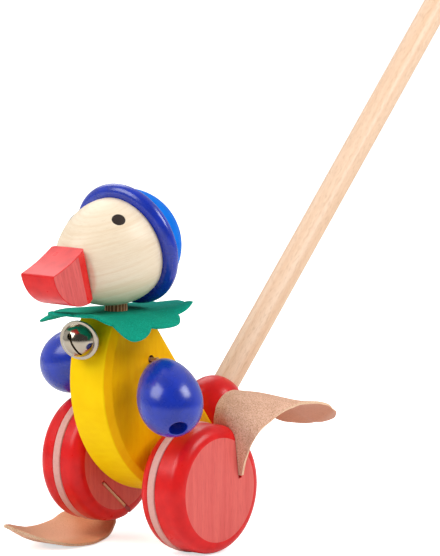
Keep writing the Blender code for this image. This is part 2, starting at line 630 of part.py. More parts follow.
def build_bell(frame, body):
    """Two crimped half shells with a loose pellet, held on the chest by a short pin."""
    reach = BELLY_RADIUS + BELL_RADIUS + SEAT_GAP
    centre = BELLY_CENTRE + Vector((0.0, -math.sqrt(reach ** 2 - BELL_RISE ** 2), BELL_RISE))
    facing = Euler((math.radians(90 - BELL_PITCH), 0.0, math.radians(BELL_YAW)))
    bell_frame = empty("bell_frame", frame, centre, facing)
    shank_run = (BELLY_CENTRE - centre).normalized()
    shank_start = BELL_RADIUS - BELL_WALL - SEAT_GAP
    shank_head = BELL_WALL
    shank_end = BELL_RADIUS + SEAT_GAP + BELL_SHANK_IN_CHEST
    thin = BELL_SHANK_DIAMETER / 2

    half_gap = SEAT_GAP / 2
    flange = half_gap + BELL_FLANGE_THICKNESS
    start = math.degrees(math.asin(flange / BELL_RADIUS))
    inner = BELL_RADIUS - BELL_WALL
    inner_start = math.degrees(math.asin(half_gap / inner))
    outside = arc((0.0, 0.0), BELL_RADIUS, start, 90, 6)
    inside = arc((0.0, 0.0), inner, 90, inner_start, 6)
    outside[-1] = (0.0, BELL_RADIUS)
    inside[0] = (0.0, inner)
    profile = [*inside, (BELL_FLANGE_RADIUS, half_gap), (BELL_FLANGE_RADIUS, flange), *outside]
    shell = turned("bell_shell", profile, 28)
    front = piece("bell_front_shell", shell, bell_frame, "nickel")
    rear = piece("bell_rear_shell", shell.copy(), bell_frame, "nickel", rotation=(math.pi, 0.0, 0.0))

    slot = bmesh.new()
    bmesh.ops.create_cube(slot, size=1.0)
    bmesh.ops.scale(slot, verts=slot.verts[:], vec=(BELL_SLOT_LENGTH, BELL_SLOT_WIDTH, BELL_RADIUS))
    turn = math.radians(BELL_SLOT_ANGLE)
    run = Vector((math.cos(turn), math.sin(turn), 0.0))
    outwards = Vector((0.0, 0.0, BELL_RADIUS))
    place = run * (BELL_SLOT_LOW_END - BELL_SLOT_LENGTH / 2) + outwards
    cut(front, "bell_slot", mesh_from("bell_slot", slot), bell_frame, place, (0.0, 0.0, turn))
    hole = dowel("bell_slot_hole", BELL_SLOT_HOLE / 2, -BELL_RADIUS, BELL_RADIUS, 16)
    hole_place = run * (BELL_SLOT_LOW_END - BELL_SLOT_LENGTH) + outwards
    cut(front, "bell_slot_hole", hole, bell_frame, hole_place)

    shank = [(0.0, shank_start - shank_head), (BELL_SHANK_HEAD / 2, shank_start - shank_head),
             (BELL_SHANK_HEAD / 2, shank_start - shank_head / 2), (thin, shank_start - shank_head / 2),
             (thin, shank_end), (0.0, shank_end)]
    piece("bell_shank", turned("bell_shank", shank, 20), frame, "nickel", centre, towards(shank_run))
    shank_hole = dowel("shank_hole", thin + SEAT_GAP, BELL_RADIUS / 2, shank_end + SEAT_GAP, 20)
    cut(rear, "shank_hole_shell", shank_hole, frame, centre, towards(shank_run))
    cut(body, "shank_hole_chest", shank_hole.copy(), frame, centre, towards(shank_run))

    pellet = BELL_PELLET_DIAMETER / 2
    ball = arc((0.0, 0.0), pellet, -90, 90, 6)
    ball[0], ball[-1] = (0.0, -pellet), (0.0, pellet)
    low = Vector((0.0, 0.0, -(inner - pellet - SEAT_GAP)))
    piece("bell_pellet", turned("bell_pellet", ball, 12), frame, "nickel", centre + low)


def build_wheelset(axle_frame):
    """Axle with a spacer, wheel, rubber tyre and leather foot on each side, all turning together."""
    across = (0.0, math.pi / 2, 0.0)
    reach = WHEEL_INNER_FACE + AXLE_IN_WHEEL
    axle = dowel("axle", AXLE_DIAMETER / 2, -reach, reach, 48)
    piece("axle", axle, axle_frame, "natural_beech", rotation=across)
    for side, sign in (("left", 1), ("right", -1)):
        hole = AXLE_DIAMETER / 2 + SEAT_GAP
        low, high = BODY_SIDE + SEAT_GAP, WHEEL_INNER_FACE - SEAT_GAP
        ring = [(hole, low), (SPACER_DIAMETER / 2, low), (SPACER_DIAMETER / 2, high), (hole, high)]
        piece(f"axle_spacer_{side}", turned(f"axle_spacer_{side}", ring, 24, ring=True), axle_frame,
              "natural_beech", rotation=(0.0, sign * math.pi / 2, 0.0))
        build_wheel(axle_frame, side, sign)
        build_foot(axle_frame, side, sign)


def build_wheel(axle_frame, side, sign):
    """Round-rimmed wheel bored off its centre, with a tyre groove and a slot for its foot."""
    half = WHEEL_WIDTH / 2
    rounding = WHEEL_RIM_ROUNDING
    groove = -TYRE_INBOARD[side]
    groove_half = TYRE_WIDTH / 2 + SEAT_GAP
    floor = WHEEL_RADIUS - TYRE_GROOVE_DEPTH
    flat = WHEEL_RADIUS - rounding
    profile = [(0.0, -half), *arc((flat, rounding - half), rounding, -90, 0, 4),
               (WHEEL_RADIUS, groove - groove_half), (floor, groove - groove_half),
               (floor, groove + groove_half), (WHEEL_RADIUS, groove + groove_half),
               *arc((flat, half - rounding), rounding, 0, 90, 4), (0.0, half)]
    centre = Vector((sign * WHEEL_MID, 0.0, -sign * WHEEL_OFF_CENTRE))
    outward = (0.0, sign * math.pi / 2, 0.0)
    disc = turned(f"wheel_{side}", profile, 48)
    wheel = piece(f"wheel_{side}", disc, axle_frame, "red_lacquer", centre, outward)
    blind = WHEEL_INNER_FACE + AXLE_IN_WHEEL + SEAT_GAP
    hole = dowel(f"axle_seat_{side}", AXLE_DIAMETER / 2 + SEAT_GAP, 0.0, blind, 32)
    cut(wheel, f"axle_seat_{side}", hole, axle_frame, rotation=outward)

    start, mouth = foot_slot(side, sign)
    run = (mouth - start).normalized()
    slot = bmesh.new()
    bmesh.ops.create_cube(slot, size=1.0)
    depth = FOOT_SLOT_LENGTH[side] + FOOT_SLOT_SPARE + WHEEL_RIM_ROUNDING
    bmesh.ops.scale(slot, verts=slot.verts[:], vec=(WHEEL_WIDTH * 1.2, LEATHER + 2 * SEAT_GAP, depth))
    place = start + run * (depth / 2 - FOOT_SLOT_SPARE)
    tip = math.atan2(-run.x, run.y)
    cut(wheel, f"foot_slot_{side}", mesh_from(f"foot_slot_{side}", slot), axle_frame,
        (sign * WHEEL_MID, place.x, place.y), (tip, 0.0, 0.0))

    inner = floor + SEAT_GAP
    shoulder = TYRE_WIDTH / 8
    side_low, side_high = groove - TYRE_WIDTH / 2, groove + TYRE_WIDTH / 2
    band = [(inner, side_low), (TYRE_RADIUS - shoulder / 2, side_low), (TYRE_RADIUS, side_low + shoulder),
            (TYRE_RADIUS, side_high - shoulder), (TYRE_RADIUS - shoulder / 2, side_high), (inner, side_high)]
    tyre = turned(f"tyre_{side}", band, 48, ring=True)
    piece(f"tyre_{side}", tyre, axle_frame, "pale_rubber", centre, outward)


def foot_slot(side, sign):
    """Inner end and mouth of a foot's slot, from the axle as (back, up)."""
    mouth_turn = math.radians(FOOT_MOUTH_ANGLE[side])
    slot_turn = math.radians(FOOT_SLOT_ANGLE[side])
    centre = Vector((0.0, -sign * WHEEL_OFF_CENTRE))
    mouth = centre + Vector((math.cos(mouth_turn), math.sin(mouth_turn))) * (TYRE_RADIUS + FOOT_MOUTH_CLEAR)
    start = mouth - Vector((math.cos(slot_turn), math.sin(slot_turn))) * FOOT_SLOT_LENGTH[side]
    return start, mouth


def build_foot(axle_frame, side, sign):
    """Leather foot: a tongue glued in the wheel's slot, notched for the tyre, that fans out past the rim."""
    start, mouth = foot_slot(side, sign)
    straight = FOOT_SLOT_LENGTH[side]
    bend = [mouth, *(mouth + Vector(step) for step in FOOT_ROUTE[side])]
    past_rim = FOOT_OUTER[side][-1][0] - straight
    count = round(past_rim / FOOT_ROW_SPACING)
    stations = [0.0, FOOT_TONGUE / 3, FOOT_TONGUE * 2 / 3, FOOT_TONGUE, FOOT_TONGUE + 2 * SEAT_GAP]
    stations += [straight + past_rim * i / count for i in range(count + 1)]
    notch = TYRE_WIDTH / 2 - TYRE_INBOARD[side] + SEAT_GAP + FOOT_NOTCH_WALL
    inner_table = ((FOOT_INNER_FROM, notch), *FOOT_INNER[side])
    shape = bmesh.new()
    grid = []
    for station in stations:
        within = station < straight
        centre = start.lerp(mouth, station / straight) if within else along(bend, station - straight)
        inner = SEAT_GAP - WHEEL_WIDTH / 2 if station <= FOOT_TONGUE else between(inner_table, station)
        outer = between(FOOT_OUTER[side], station)
        fold = max(between(FOOT_FOLD, station), inner + (outer - inner) / 4)
        columns = [inner + (fold - inner) * j / FOOT_INNER_COLUMNS for j in range(FOOT_INNER_COLUMNS)]
        columns += [fold + (outer - fold) * j / FOOT_OUTER_COLUMNS for j in range(FOOT_OUTER_COLUMNS + 1)]
        outer_sag = between(FOOT_OUTER_SAG[side], station)
        inner_sag = between(FOOT_INNER_SAG[side], station)
        outer_run = Vector(FOOT_SAG_RUN if outer_sag > 0 else FOOT_RISE_RUN)
        row = []
        for x in columns:
            place = centre + outer_run * (outer_sag * max(0.0, (x - fold) / (outer - fold)) ** 1.5)
            drop = inner_sag * max(0.0, (FOOT_SPINE - x) / FOOT_SPINE_REACH) ** 1.5
            row.append(shape.verts.new((sign * (WHEEL_MID + x), place.x, place.y - drop)))
        grid.append(row)
    for first, second in zip(grid, grid[1:]):
        for j in range(len(first) - 1):
            shape.faces.new((first[j], first[j + 1], second[j + 1], second[j]))
    foot = piece(f"foot_{side}", mesh_from(f"foot_{side}", shape), axle_frame, "tan_leather")
    thicken(foot, LEATHER)


def build_wings(frame):
    """Bead wings, each on its end of one cord that runs through the body."""
    half_run = BODY_SIDE - WING_CORD_BREAK
    middle = [(half_run * share, WING_HOLE.y, WING_HOLE.z) for share in (-1, -0.5, 0, 0.5, 1)]
    tube("wing_cord_middle", frame, "cream_cord", middle, WING_CORD_DIAMETER)
    for side, sign in (("left", 1), ("right", -1)):
        build_wing(frame, side, sign)


def build_wing(frame, side, sign):
    """One egg bead, broad end down, with the cord up its bore and a knot in its wide mouth."""
    half = WING_LENGTH / 2
    bore = WING_BORE / 2
    mouth = WING_MOUTH / 2
    steps = 16
    heights = [-half * math.cos(math.pi * i / steps) for i in range(1, steps)]
    skin = [(egg_radius(h, WING_RADIUS, half, WING_TAPER), h) for h in heights]
    skin = [(r, h) for r, h in skin if r > (mouth if h > 0 else bore) * 1.15]
    top = -half * math.sqrt(1 - (bore / WING_RADIUS / (1 - WING_TAPER)) ** 2)
    bottom = half * math.sqrt(1 - (mouth / WING_RADIUS / (1 + WING_TAPER)) ** 2)
    floor = bottom - WING_MOUTH_DEPTH
    profile = [(bore, top), *skin, (mouth, bottom), (mouth, floor), (bore, floor)]
    direction = Vector(WING_DIRECTION[side]).normalized()
    hinge = Vector((sign * BODY_SIDE, WING_HOLE.y, WING_HOLE.z))
    pivot = empty(f"wing_pivot_{side}", frame, hinge)
    outboard, behind, above = WING_CENTRE[side]
    centre = Vector((sign * (WHEEL_MID + outboard), behind, WHEEL_TOP + above)) - hinge
    piece(f"wing_{side}", turned(f"wing_{side}", profile, 32, ring=True), pivot, "blue_lacquer",
          centre, towards(direction))

    knot = WING_KNOT_DIAMETER / 2
    knot_place = centre + direction * (floor + knot + SEAT_GAP)
    ball = arc((0.0, 0.0), knot, -90, 90, 6)
    ball[0], ball[-1] = (0.0, -knot), (0.0, knot)
    piece(f"wing_knot_{side}", turned(f"wing_knot_{side}", ball, 12), pivot, "cream_cord",
          knot_place, towards(direction))
    enter = centre + direction * (top - WING_CORD_DIAMETER)
    leave = knot_place - direction * (knot + SEAT_GAP)
    stub = Vector((sign * WING_CORD_STUB, 0.0, 0.0))
    out = Vector((sign * WING_CORD_DIAMETER * 1.5, 0.0, 0.0))
    bends = [stub, out, enter - direction * WING_CORD_DIAMETER / 2, enter]
    cord = [Vector((0.0, 0.0, 0.0))]
    for i in range(7):
        share = i / 6
        rest = 1 - share
        cord.append(rest ** 3 * bends[0] + 3 * rest ** 2 * share * bends[1]
                    + 3 * rest * share ** 2 * bends[2] + share ** 3 * bends[3])
    cord += [enter.lerp(leave, share) for share in (0.25, 0.5, 0.75, 1.0)]
    tube(f"wing_cord_{side}", pivot, "cream_cord", cord, WING_CORD_DIAMETER)


def main():
    for old in list(bpy.data.objects):
        bpy.data.objects.remove(old, do_unlink=True)
    frame = empty("duck_frame", None, (0.0, FRAME_SHIFT, 0.0))
    body = build_body(frame)
    build_stick(frame)
    build_neck(frame)
    build_collar(frame)
    build_head(frame)
    build_bell(frame, body)
    build_wheelset(empty("axle_frame", frame, (0.0, 0.0, AXLE_HEIGHT)))
    build_wings(frame)


main()
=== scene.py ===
"""Looks of a wooden push-along duck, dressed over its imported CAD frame.

Each sub-assembly is a class that holds its sizes in metres, builds its meshes finer than the solids
they stand for, and gives them finishes made of shader nodes. Places are measured from the floor
point under the middle of the axle, with the duck facing -Y and its left side at +X.
"""

from __future__ import annotations

import json
import logging
import math
from collections.abc import Callable
from dataclasses import dataclass
from enum import Enum

import bmesh
import bpy
from mathutils import Euler, Matrix, Vector, noise

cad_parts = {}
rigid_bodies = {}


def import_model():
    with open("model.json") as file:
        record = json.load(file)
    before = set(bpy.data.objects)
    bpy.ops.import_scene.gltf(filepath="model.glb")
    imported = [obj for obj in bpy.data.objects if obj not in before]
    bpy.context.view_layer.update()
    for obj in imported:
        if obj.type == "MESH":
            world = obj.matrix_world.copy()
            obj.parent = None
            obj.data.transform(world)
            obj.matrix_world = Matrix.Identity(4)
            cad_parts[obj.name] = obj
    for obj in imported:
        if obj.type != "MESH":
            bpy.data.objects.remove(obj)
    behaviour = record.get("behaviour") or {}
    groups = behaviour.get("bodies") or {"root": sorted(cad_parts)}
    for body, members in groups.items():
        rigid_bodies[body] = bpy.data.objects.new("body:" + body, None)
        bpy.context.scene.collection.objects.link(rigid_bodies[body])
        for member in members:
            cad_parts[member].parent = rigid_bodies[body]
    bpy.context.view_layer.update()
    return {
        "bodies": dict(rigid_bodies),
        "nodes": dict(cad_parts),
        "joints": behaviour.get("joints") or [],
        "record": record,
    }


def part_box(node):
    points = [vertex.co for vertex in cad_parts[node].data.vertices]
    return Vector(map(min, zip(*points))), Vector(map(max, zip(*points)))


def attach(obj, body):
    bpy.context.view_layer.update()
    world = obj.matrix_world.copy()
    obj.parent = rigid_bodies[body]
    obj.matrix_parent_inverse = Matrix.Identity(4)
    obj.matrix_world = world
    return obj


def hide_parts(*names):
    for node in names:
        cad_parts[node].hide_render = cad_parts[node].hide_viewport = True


LOG = logging.getLogger("push_duck")
MM = 0.001
MERGE_DISTANCE = 1e-7
SHARP_ANGLE = math.radians(38)
SEAT_GAP = 0.0003
# How far a cutter stands past what it cuts through
OVERCUT = 1.2
COAT_ROUGHNESS = 0.2
PORE_DEPTH_MM = 0.05
# Sockets of the mix node when it mixes colours
MIX_SHARE, MIX_UNDER, MIX_OVER, MIX_RESULT = 0, 6, 7, 2

Point = tuple[float, float]
Table = tuple[Point, ...]
Grid = list[list[Vector]]


class Side(Enum):
    """The duck's own left and right, with the sign of X on that side."""

    LEFT = 1
    RIGHT = -1

    @property
    def label(self) -> str:
        """The side's word in node names."""
        return self.name.lower()


class Body(Enum):
    """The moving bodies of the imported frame."""

    DUCK = "duck"
    WHEELSET = "wheelset"
    WING_LEFT = "wing_left"
    WING_RIGHT = "wing_right"
    PELLET = "pellet"


def linear(code: str) -> tuple[float, float, float, float]:
    """Turns an sRGB hex colour to linear light.

    Args:
        code: Colour such as "#E3BE96".

    Returns:
        Linear red, green and blue, and an alpha of 1.
    """
    channels = [int(code[i:i + 2], 16) / 255 for i in (1, 3, 5)]
    light = [c / 12.92 if c <= 0.04045 else ((c + 0.055) / 1.055) ** 2.4 for c in channels]
    return light[0], light[1], light[2], 1.0


def add_node(tree: bpy.types.NodeTree, kind: str, inputs: dict | None = None,
             **settings: object) -> bpy.types.Node:
    """Adds one shader node with its settings, values and links.

    Args:
        tree: Node tree that takes the node.
        kind: Blender's name for the node type.
        inputs: Value or linked output socket for each input, by name or index.
        **settings: Attributes of the node.

    Returns:
        The new node.
    """
    made = tree.nodes.new(kind)
    for name, value in settings.items():
        setattr(made, name, value)
    for name, value in (inputs or {}).items():
        if isinstance(value, bpy.types.NodeSocket):
            tree.links.new(value, made.inputs[name])
        else:
            made.inputs[name].default_value = value
    return made


@dataclass(frozen=True)
class Finish:
    """A surface finish, named for the real material.

    Attributes:
        name: Name of the material.
        colour: Main colour, sRGB hex.
        roughness: Roughness of the surface.
    """

    name: str
    colour: str
    roughness: float

    def material(self) -> bpy.types.Material:
        """Gives the finish as a material, made on first use.

        Returns:
            The material.
        """
        made = bpy.data.materials.get(self.name)
        if made is None:
            made = bpy.data.materials.new(self.name)
            made.use_nodes = True
            shader = made.node_tree.nodes["Principled BSDF"]
            shader.inputs["Base Color"].default_value = linear(self.colour)
            shader.inputs["Roughness"].default_value = self.roughness
            self.shade(made.node_tree, shader)
        return made

    def shade(self, tree: bpy.types.NodeTree, shader: bpy.types.Node) -> None:
        """Adds the finish's pattern to its shader."""
        raise NotImplementedError

    @staticmethod
    def pattern(tree: bpy.types.NodeTree, size_mm: tuple[float, float, float], detail: float = 2.0,
                rough: float = 0.5) -> bpy.types.NodeSocket:
        """Adds a noise pattern with a real patch size on each local axis.

        Args:
            tree: Node tree of the material.
            size_mm: Length of one patch along X, Y and Z, in millimetres.
            detail: Octaves of finer noise.
            rough: Weight of the finer octaves.

        Returns:
            The socket of the noise value.
        """
        place = add_node(tree, "ShaderNodeTexCoord").outputs["Object"]
        scale = [1 / (length * MM) for length in size_mm]
        scaled = add_node(tree, "ShaderNodeMapping", {"Vector": place, "Scale": scale}).outputs["Vector"]
        inputs = {"Vector": scaled, "Scale": 1.0, "Detail": detail, "Roughness": rough}
        return add_node(tree, "ShaderNodeTexNoise", inputs).outputs["Fac"]

    @staticmethod
    def spread(tree: bpy.types.NodeTree, value: bpy.types.NodeSocket, low: float, high: float,
               to_low: float | bpy.types.NodeSocket = 0.0,
               to_high: float | bpy.types.NodeSocket = 1.0) -> bpy.types.NodeSocket:
        """Maps a stretch of a pattern's values to another, held at both ends.

        Args:
            tree: Node tree of the material.
            value: Socket of the pattern.
            low: Pattern value that gives to_low.
            high: Pattern value that gives to_high.
            to_low: Result at and below low.
            to_high: Result at and above high.

        Returns:
            The socket of the mapped value.
        """
        inputs = {"Value": value, "From Min": low, "From Max": high, "To Min": to_low, "To Max": to_high}
        return add_node(tree, "ShaderNodeMapRange", inputs).outputs["Result"]

    @staticmethod
    def tint(tree: bpy.types.NodeTree, share: bpy.types.NodeSocket, under: str | bpy.types.NodeSocket,
             over: str) -> bpy.types.NodeSocket:
        """Lays a colour over another by a share.

        Args:
            tree: Node tree of the material.
            share: Socket that says how much of the upper colour shows.
            under: Hex colour or colour socket underneath.
            over: Hex colour on top.

        Returns:
            The socket of the mixed colour.
        """
        below = linear(under) if isinstance(under, str) else under
        inputs = {MIX_SHARE: share, MIX_UNDER: below, MIX_OVER: linear(over)}
        return add_node(tree, "ShaderNodeMix", inputs, data_type="RGBA").outputs[MIX_RESULT]

    @staticmethod
    def relief(tree: bpy.types.NodeTree, shader: bpy.types.Node, height: bpy.types.NodeSocket,
               depth_mm: float, strength: float = 1.0) -> None:
        """Bumps the surface by a pattern of a real depth."""
        inputs = {"Height": height, "Distance": depth_mm * MM, "Strength": strength}
        bump = add_node(tree, "ShaderNodeBump", inputs)
        tree.links.new(bump.outputs["Normal"], shader.inputs["Normal"])


@dataclass(frozen=True)
class Lacquer(Finish):
    """Sprayed toy lacquer on sanded beech: one deep colour, a soft gloss and a faint ripple.

    Attributes:
        shadow: Slightly deeper tone where the film is thick.
        gloss: Specular level under the coat.
        coat: Weight of the clear coat.
        ripple_mm: Length of the film's ripples on each axis.
        ripple_depth_mm: Depth of the ripples.
    """

    shadow: str
    gloss: float = 0.3
    coat: float = 0.25
    ripple_mm: tuple[float, float, float] = (7.0, 7.0, 7.0)
    ripple_depth_mm: float = 0.03

    def shade(self, tree: bpy.types.NodeTree, shader: bpy.types.Node) -> None:
        """Adds the film's uneven depth and its ripple."""
        film = self.pattern(tree, self.ripple_mm, 3.0)
        colour = self.tint(tree, self.spread(tree, film, 0.35, 0.75), self.colour, self.shadow)
        tree.links.new(colour, shader.inputs["Base Color"])
        sheen = self.spread(tree, film, 0.3, 0.7, self.roughness * 0.9, self.roughness * 1.15)
        tree.links.new(sheen, shader.inputs["Roughness"])
        shader.inputs["Specular IOR Level"].default_value = self.gloss
        shader.inputs["Coat Weight"].default_value = self.coat
        shader.inputs["Coat Roughness"].default_value = COAT_ROUGHNESS
        self.relief(tree, shader, film, self.ripple_depth_mm)


@dataclass(frozen=True)
class Timber(Finish):
    """Sawn or turned wood, bare or stained: growth bands with short dark pores along the grain.

    Real pores are about a tenth of a millimetre wide, too fine to show, so they are drawn coarser.

    Attributes:
        late: Colour of the later growth in each band.
        pore: Colour of the pores and rays.
        band_mm: Size of the growth bands on each local axis.
        pore_mm: Size of the pores on each local axis.
        pore_share: How strongly the pores show, from 0 to 1.
        coat: Weight of the clear oil or varnish.
    """

    late: str
    pore: str
    band_mm: tuple[float, float, float]
    pore_mm: tuple[float, float, float]
    pore_share: float = 0.5
    coat: float = 0.0

    def shade(self, tree: bpy.types.NodeTree, shader: bpy.types.Node) -> None:
        """Adds growth bands, pores and their relief."""
        bands = self.pattern(tree, self.band_mm, 2.0)
        pores = self.pattern(tree, self.pore_mm, 3.0, 0.65)
        banded = self.tint(tree, self.spread(tree, bands, 0.38, 0.66), self.colour, self.late)
        share = self.spread(tree, pores, 0.5, 0.72, 0.0, self.pore_share)
        tree.links.new(self.tint(tree, share, banded, self.pore), shader.inputs["Base Color"])
        shader.inputs["Coat Weight"].default_value = self.coat
        shader.inputs["Coat Roughness"].default_value = COAT_ROUGHNESS
        self.relief(tree, shader, pores, PORE_DEPTH_MM, 0.5)


@dataclass(frozen=True)
class Fibre(Finish):
    """Felt, suede, cut leather or cotton: matted short fibres that give a dull, speckled, velvety face.

    Single fibres are too fine to show, so the speckle is drawn coarser.

    Attributes:
        deep: Colour between the fibres.
        tip: Colour of the fibre tips that catch the light.
        fibre_mm: Size of the speckle.
        nap: Weight of the sheen.
        fluff_mm: Depth of the relief.
        cloud_mm: Size of the slow changes in tone.
    """

    deep: str
    tip: str
    fibre_mm: float = 0.7
    nap: float = 0.3
    fluff_mm: float = 0.15
    cloud_mm: float = 9.0

    def shade(self, tree: bpy.types.NodeTree, shader: bpy.types.Node) -> None:
        """Adds speckle, slow clouding, nap and relief."""
        speckle = self.pattern(tree, (self.fibre_mm,) * 3, 3.0, 0.7)
        clouds = self.pattern(tree, (self.cloud_mm,) * 3, 2.0)
        colour = self.tint(tree, self.spread(tree, speckle, 0.5, 0.68), self.colour, self.tip)
        colour = self.tint(tree, self.spread(tree, speckle, 0.5, 0.34, 0.0, 0.8), colour, self.deep)
        colour = self.tint(tree, self.spread(tree, clouds, 0.45, 0.8, 0.0, 0.35), colour, self.deep)
        tree.links.new(colour, shader.inputs["Base Color"])
        shader.inputs["Sheen Weight"].default_value = self.nap
        shader.inputs["Sheen Roughness"].default_value = 0.5
        shader.inputs["Sheen Tint"].default_value = linear(self.tip)
        shader.inputs["Specular IOR Level"].default_value = 0.2
        self.relief(tree, shader, speckle, self.fluff_mm, 0.8)


@dataclass(frozen=True)
class Moulded(Finish):
    """Rubber or grained leather: an even, half-dull skin with a fine pebble.

    Attributes:
        shade_colour: Tone in the hollows of the pebble.
        pebble_mm: Size of the pebble.
        pebble_depth_mm: Depth of the pebble.
    """

    shade_colour: str
    pebble_mm: float = 0.9
    pebble_depth_mm: float = 0.05

    def shade(self, tree: bpy.types.NodeTree, shader: bpy.types.Node) -> None:
        """Adds the pebble's tone and relief."""
        pebble = self.pattern(tree, (self.pebble_mm,) * 3, 3.0, 0.6)
        hollows = self.spread(tree, pebble, 0.45, 0.75, 0.0, 0.7)
        colour = self.tint(tree, hollows, self.colour, self.shade_colour)
        tree.links.new(colour, shader.inputs["Base Color"])
        self.relief(tree, shader, pebble, self.pebble_depth_mm)


@dataclass(frozen=True)
class Plating(Finish):
    """Nickel plate on pressed sheet: a bright mirror, slightly uneven from the press.

    Attributes:
        dent_mm: Length of the press marks.
        dent_depth_mm: Depth of the press marks.
    """

    dent_mm: float = 3.0
    dent_depth_mm: float = 0.02

    def shade(self, tree: bpy.types.NodeTree, shader: bpy.types.Node) -> None:
        """Adds the metal, its uneven polish and soft press marks."""
        shader.inputs["Metallic"].default_value = 1.0
        dents = self.pattern(tree, (self.dent_mm,) * 3, 2.0)
        polish = self.spread(tree, dents, 0.3, 0.7, self.roughness * 0.7, self.roughness * 1.4)
        tree.links.new(polish, shader.inputs["Roughness"])
        self.relief(tree, shader, dents, self.dent_depth_mm)


# Oiled beech dowel: warm pinkish beige with short dark flecks along its length
BEECH = Timber("oiled_beech", "#F3D2B4", 0.55, late="#EBC4A2", pore="#C4966E", band_mm=(3.0, 3.0, 160.0),
               pore_mm=(0.6, 0.6, 4.0), pore_share=0.5, coat=0.1)
# Fluted beech dowel of the neck: warm orange, with painted shade in the pressed grooves
NECK_BEECH = Timber("fluted_beech", "#FCC49C", 0.55, late="#F2B186", pore="#B97A50", band_mm=(1.2, 1.2, 60.0),
                    pore_mm=(0.5, 0.5, 4.0), pore_share=0.4)
# Darker copy of the neck's beech: painted shade for the flutes' grooves
NECK_GROOVE_PAINTED_SHADE = Timber("fluted_beech_groove_painted_shade", "#B56A42", 0.7, late="#A65D36", pore="#7C4024",
                     band_mm=(1.2, 1.2, 60.0), pore_mm=(0.5, 0.5, 4.0), pore_share=0.4)
# Varnished maple egg: pale cream with thin, faint growth lines
MAPLE = Timber("varnished_maple", "#F3E1C6", 0.45, late="#EDD6B6", pore="#D9BD96", band_mm=(60.0, 1.5, 44.0),
               pore_mm=(3.0, 0.4, 5.0), pore_share=0.28, coat=0.12)
# Red-stained beech, sanded flat: dull coral with darker pores along the grain, the pale coral partly the
# stain and partly painted reflection of the bright studio
CORAL_STAIN_AND_REFLECTION_WHEEL = Timber("stained_beech_and_painted_reflection_wheel_face", "#E5665E", 0.6, late="#DE5B54", pore="#BE403C",
                     band_mm=(2.6, 60.0, 60.0), pore_mm=(0.5, 8.0, 8.0), pore_share=0.45)
CORAL_STAIN_AND_REFLECTION_BEAK = Timber("stained_beech_and_painted_reflection_beak_side", "#E25F5B", 0.6, late="#D85350", pore="#B0363A",
                    band_mm=(60.0, 60.0, 2.4), pore_mm=(9.0, 8.0, 0.55), pore_share=0.6)
# Toy lacquers on turned beech: saturated, half glossy, slightly rippled
RED = Lacquer("red_toy_lacquer", "#E4201F", 0.3, shadow="#D2161A", gloss=0.18, coat=0.15)
BLUE = Lacquer("ultramarine_toy_lacquer", "#1433B2", 0.26, shadow="#102B9C", gloss=0.4, coat=0.4)
SKY = Lacquer("sky_blue_toy_lacquer", "#0679E8", 0.42, shadow="#056CD8", gloss=0.03, coat=0.0)
YELLOW = Lacquer("yellow_toy_lacquer", "#FBD004", 0.5, shadow="#F6C602", gloss=0.06, coat=0.0,
                 ripple_mm=(9.0, 2.0, 9.0))
# The same yellow lacquer, drawn deeper and more orange for the board's flat sides and chamfers: painted shade
YELLOW_SIDE_PAINTED_SHADE = Lacquer("yellow_lacquer_painted_side_shade", "#F9BA02", 0.5, shadow="#F4AE00", gloss=0.06, coat=0.0,
                      ripple_mm=(9.0, 2.0, 9.0))
# Bare beech in the cord's hole, drawn dark red-brown: painted shade inside the hole
BORE_PAINTED_SHADE = Timber("beech_bore_painted_shade", "#7A3A16", 0.8, late="#6C3010", pore="#4C200A", band_mm=(1.0, 1.0, 1.0),
              pore_mm=(0.5, 0.5, 0.5), pore_share=0.5)
# Stained hardwood peg: near black with a dull shine
EBONY = Lacquer("ebonised_peg", "#352A26", 0.5, shadow="#2A211E", gloss=0.25, coat=0.0,
                ripple_mm=(0.8, 0.8, 0.8))
# Pressed wool felt: matted, speckled green with a velvety edge
FELT = Fibre("wool_felt", "#02997E", 0.95, deep="#02836C", tip="#14B698", fibre_mm=0.55, nap=0.08)
# Split cowhide: rough suede on the flesh side, smooth tan on the grain side
SUEDE = Fibre("cowhide_suede", "#EDBB9D", 0.95, deep="#C08A6C", tip="#FAD3BB", fibre_mm=0.75, nap=0.12)
GRAIN_LEATHER = Moulded("cowhide_grain_side", "#F0B688", 0.5, shade_colour="#DC9C6C")
# Grain side of the left foot's hide: the same smooth leather, drawn a darker, redder tan as painted shade
GRAIN_LEATHER_PAINTED_SHADE = Moulded("cowhide_left_grain_side_painted_shade", "#CF8762", 0.5, shade_colour="#BB7350")
# Cut edge of the cowhide: pale and dry
CUT_LEATHER = Fibre("cowhide_cut_edge", "#F0CBA8", 0.9, deep="#D0A07A", tip="#F8DCC2", fibre_mm=0.5, nap=0.1)
# Rubber band: dull pinkish beige
RUBBER = Moulded("rubber_band", "#E0A89E", 0.6, shade_colour="#D2978C", pebble_mm=1.4, pebble_depth_mm=0.02)
# Twisted cotton: dull tan thread
COTTON = Fibre("cotton_cord", "#C89C72", 0.9, deep="#9E7048", tip="#D8B48E", fibre_mm=0.4, nap=0.1,
               fluff_mm=0.08)
# Nickel-plated bell: bright mirror, slightly warm
NICKEL = Plating("nickel_plate", "#B8AD9C", 0.16)


def arc(centre: Point, radius: float, start: float, end: float, steps: int) -> list[Point]:
    """Gives points on an arc.

    Args:
        centre: Middle of the arc.
        radius: Its radius.
        start: First angle in degrees.
        end: Last angle in degrees.
        steps: Number of straight steps.

    Returns:
        The points, both ends among them.
    """
    angles = [math.radians(start + (end - start) * i / steps) for i in range(steps + 1)]
    return [(centre[0] + radius * math.cos(a), centre[1] + radius * math.sin(a)) for a in angles]


def egg_radius(height: float, radius: float, half_length: float, taper: float) -> float:
    """Radius of an egg at a height from its middle, broad end up where the taper is above zero."""
    share = height / half_length
    return radius * math.sqrt(max(0.0, 1 - share * share)) * (1 + taper * share)


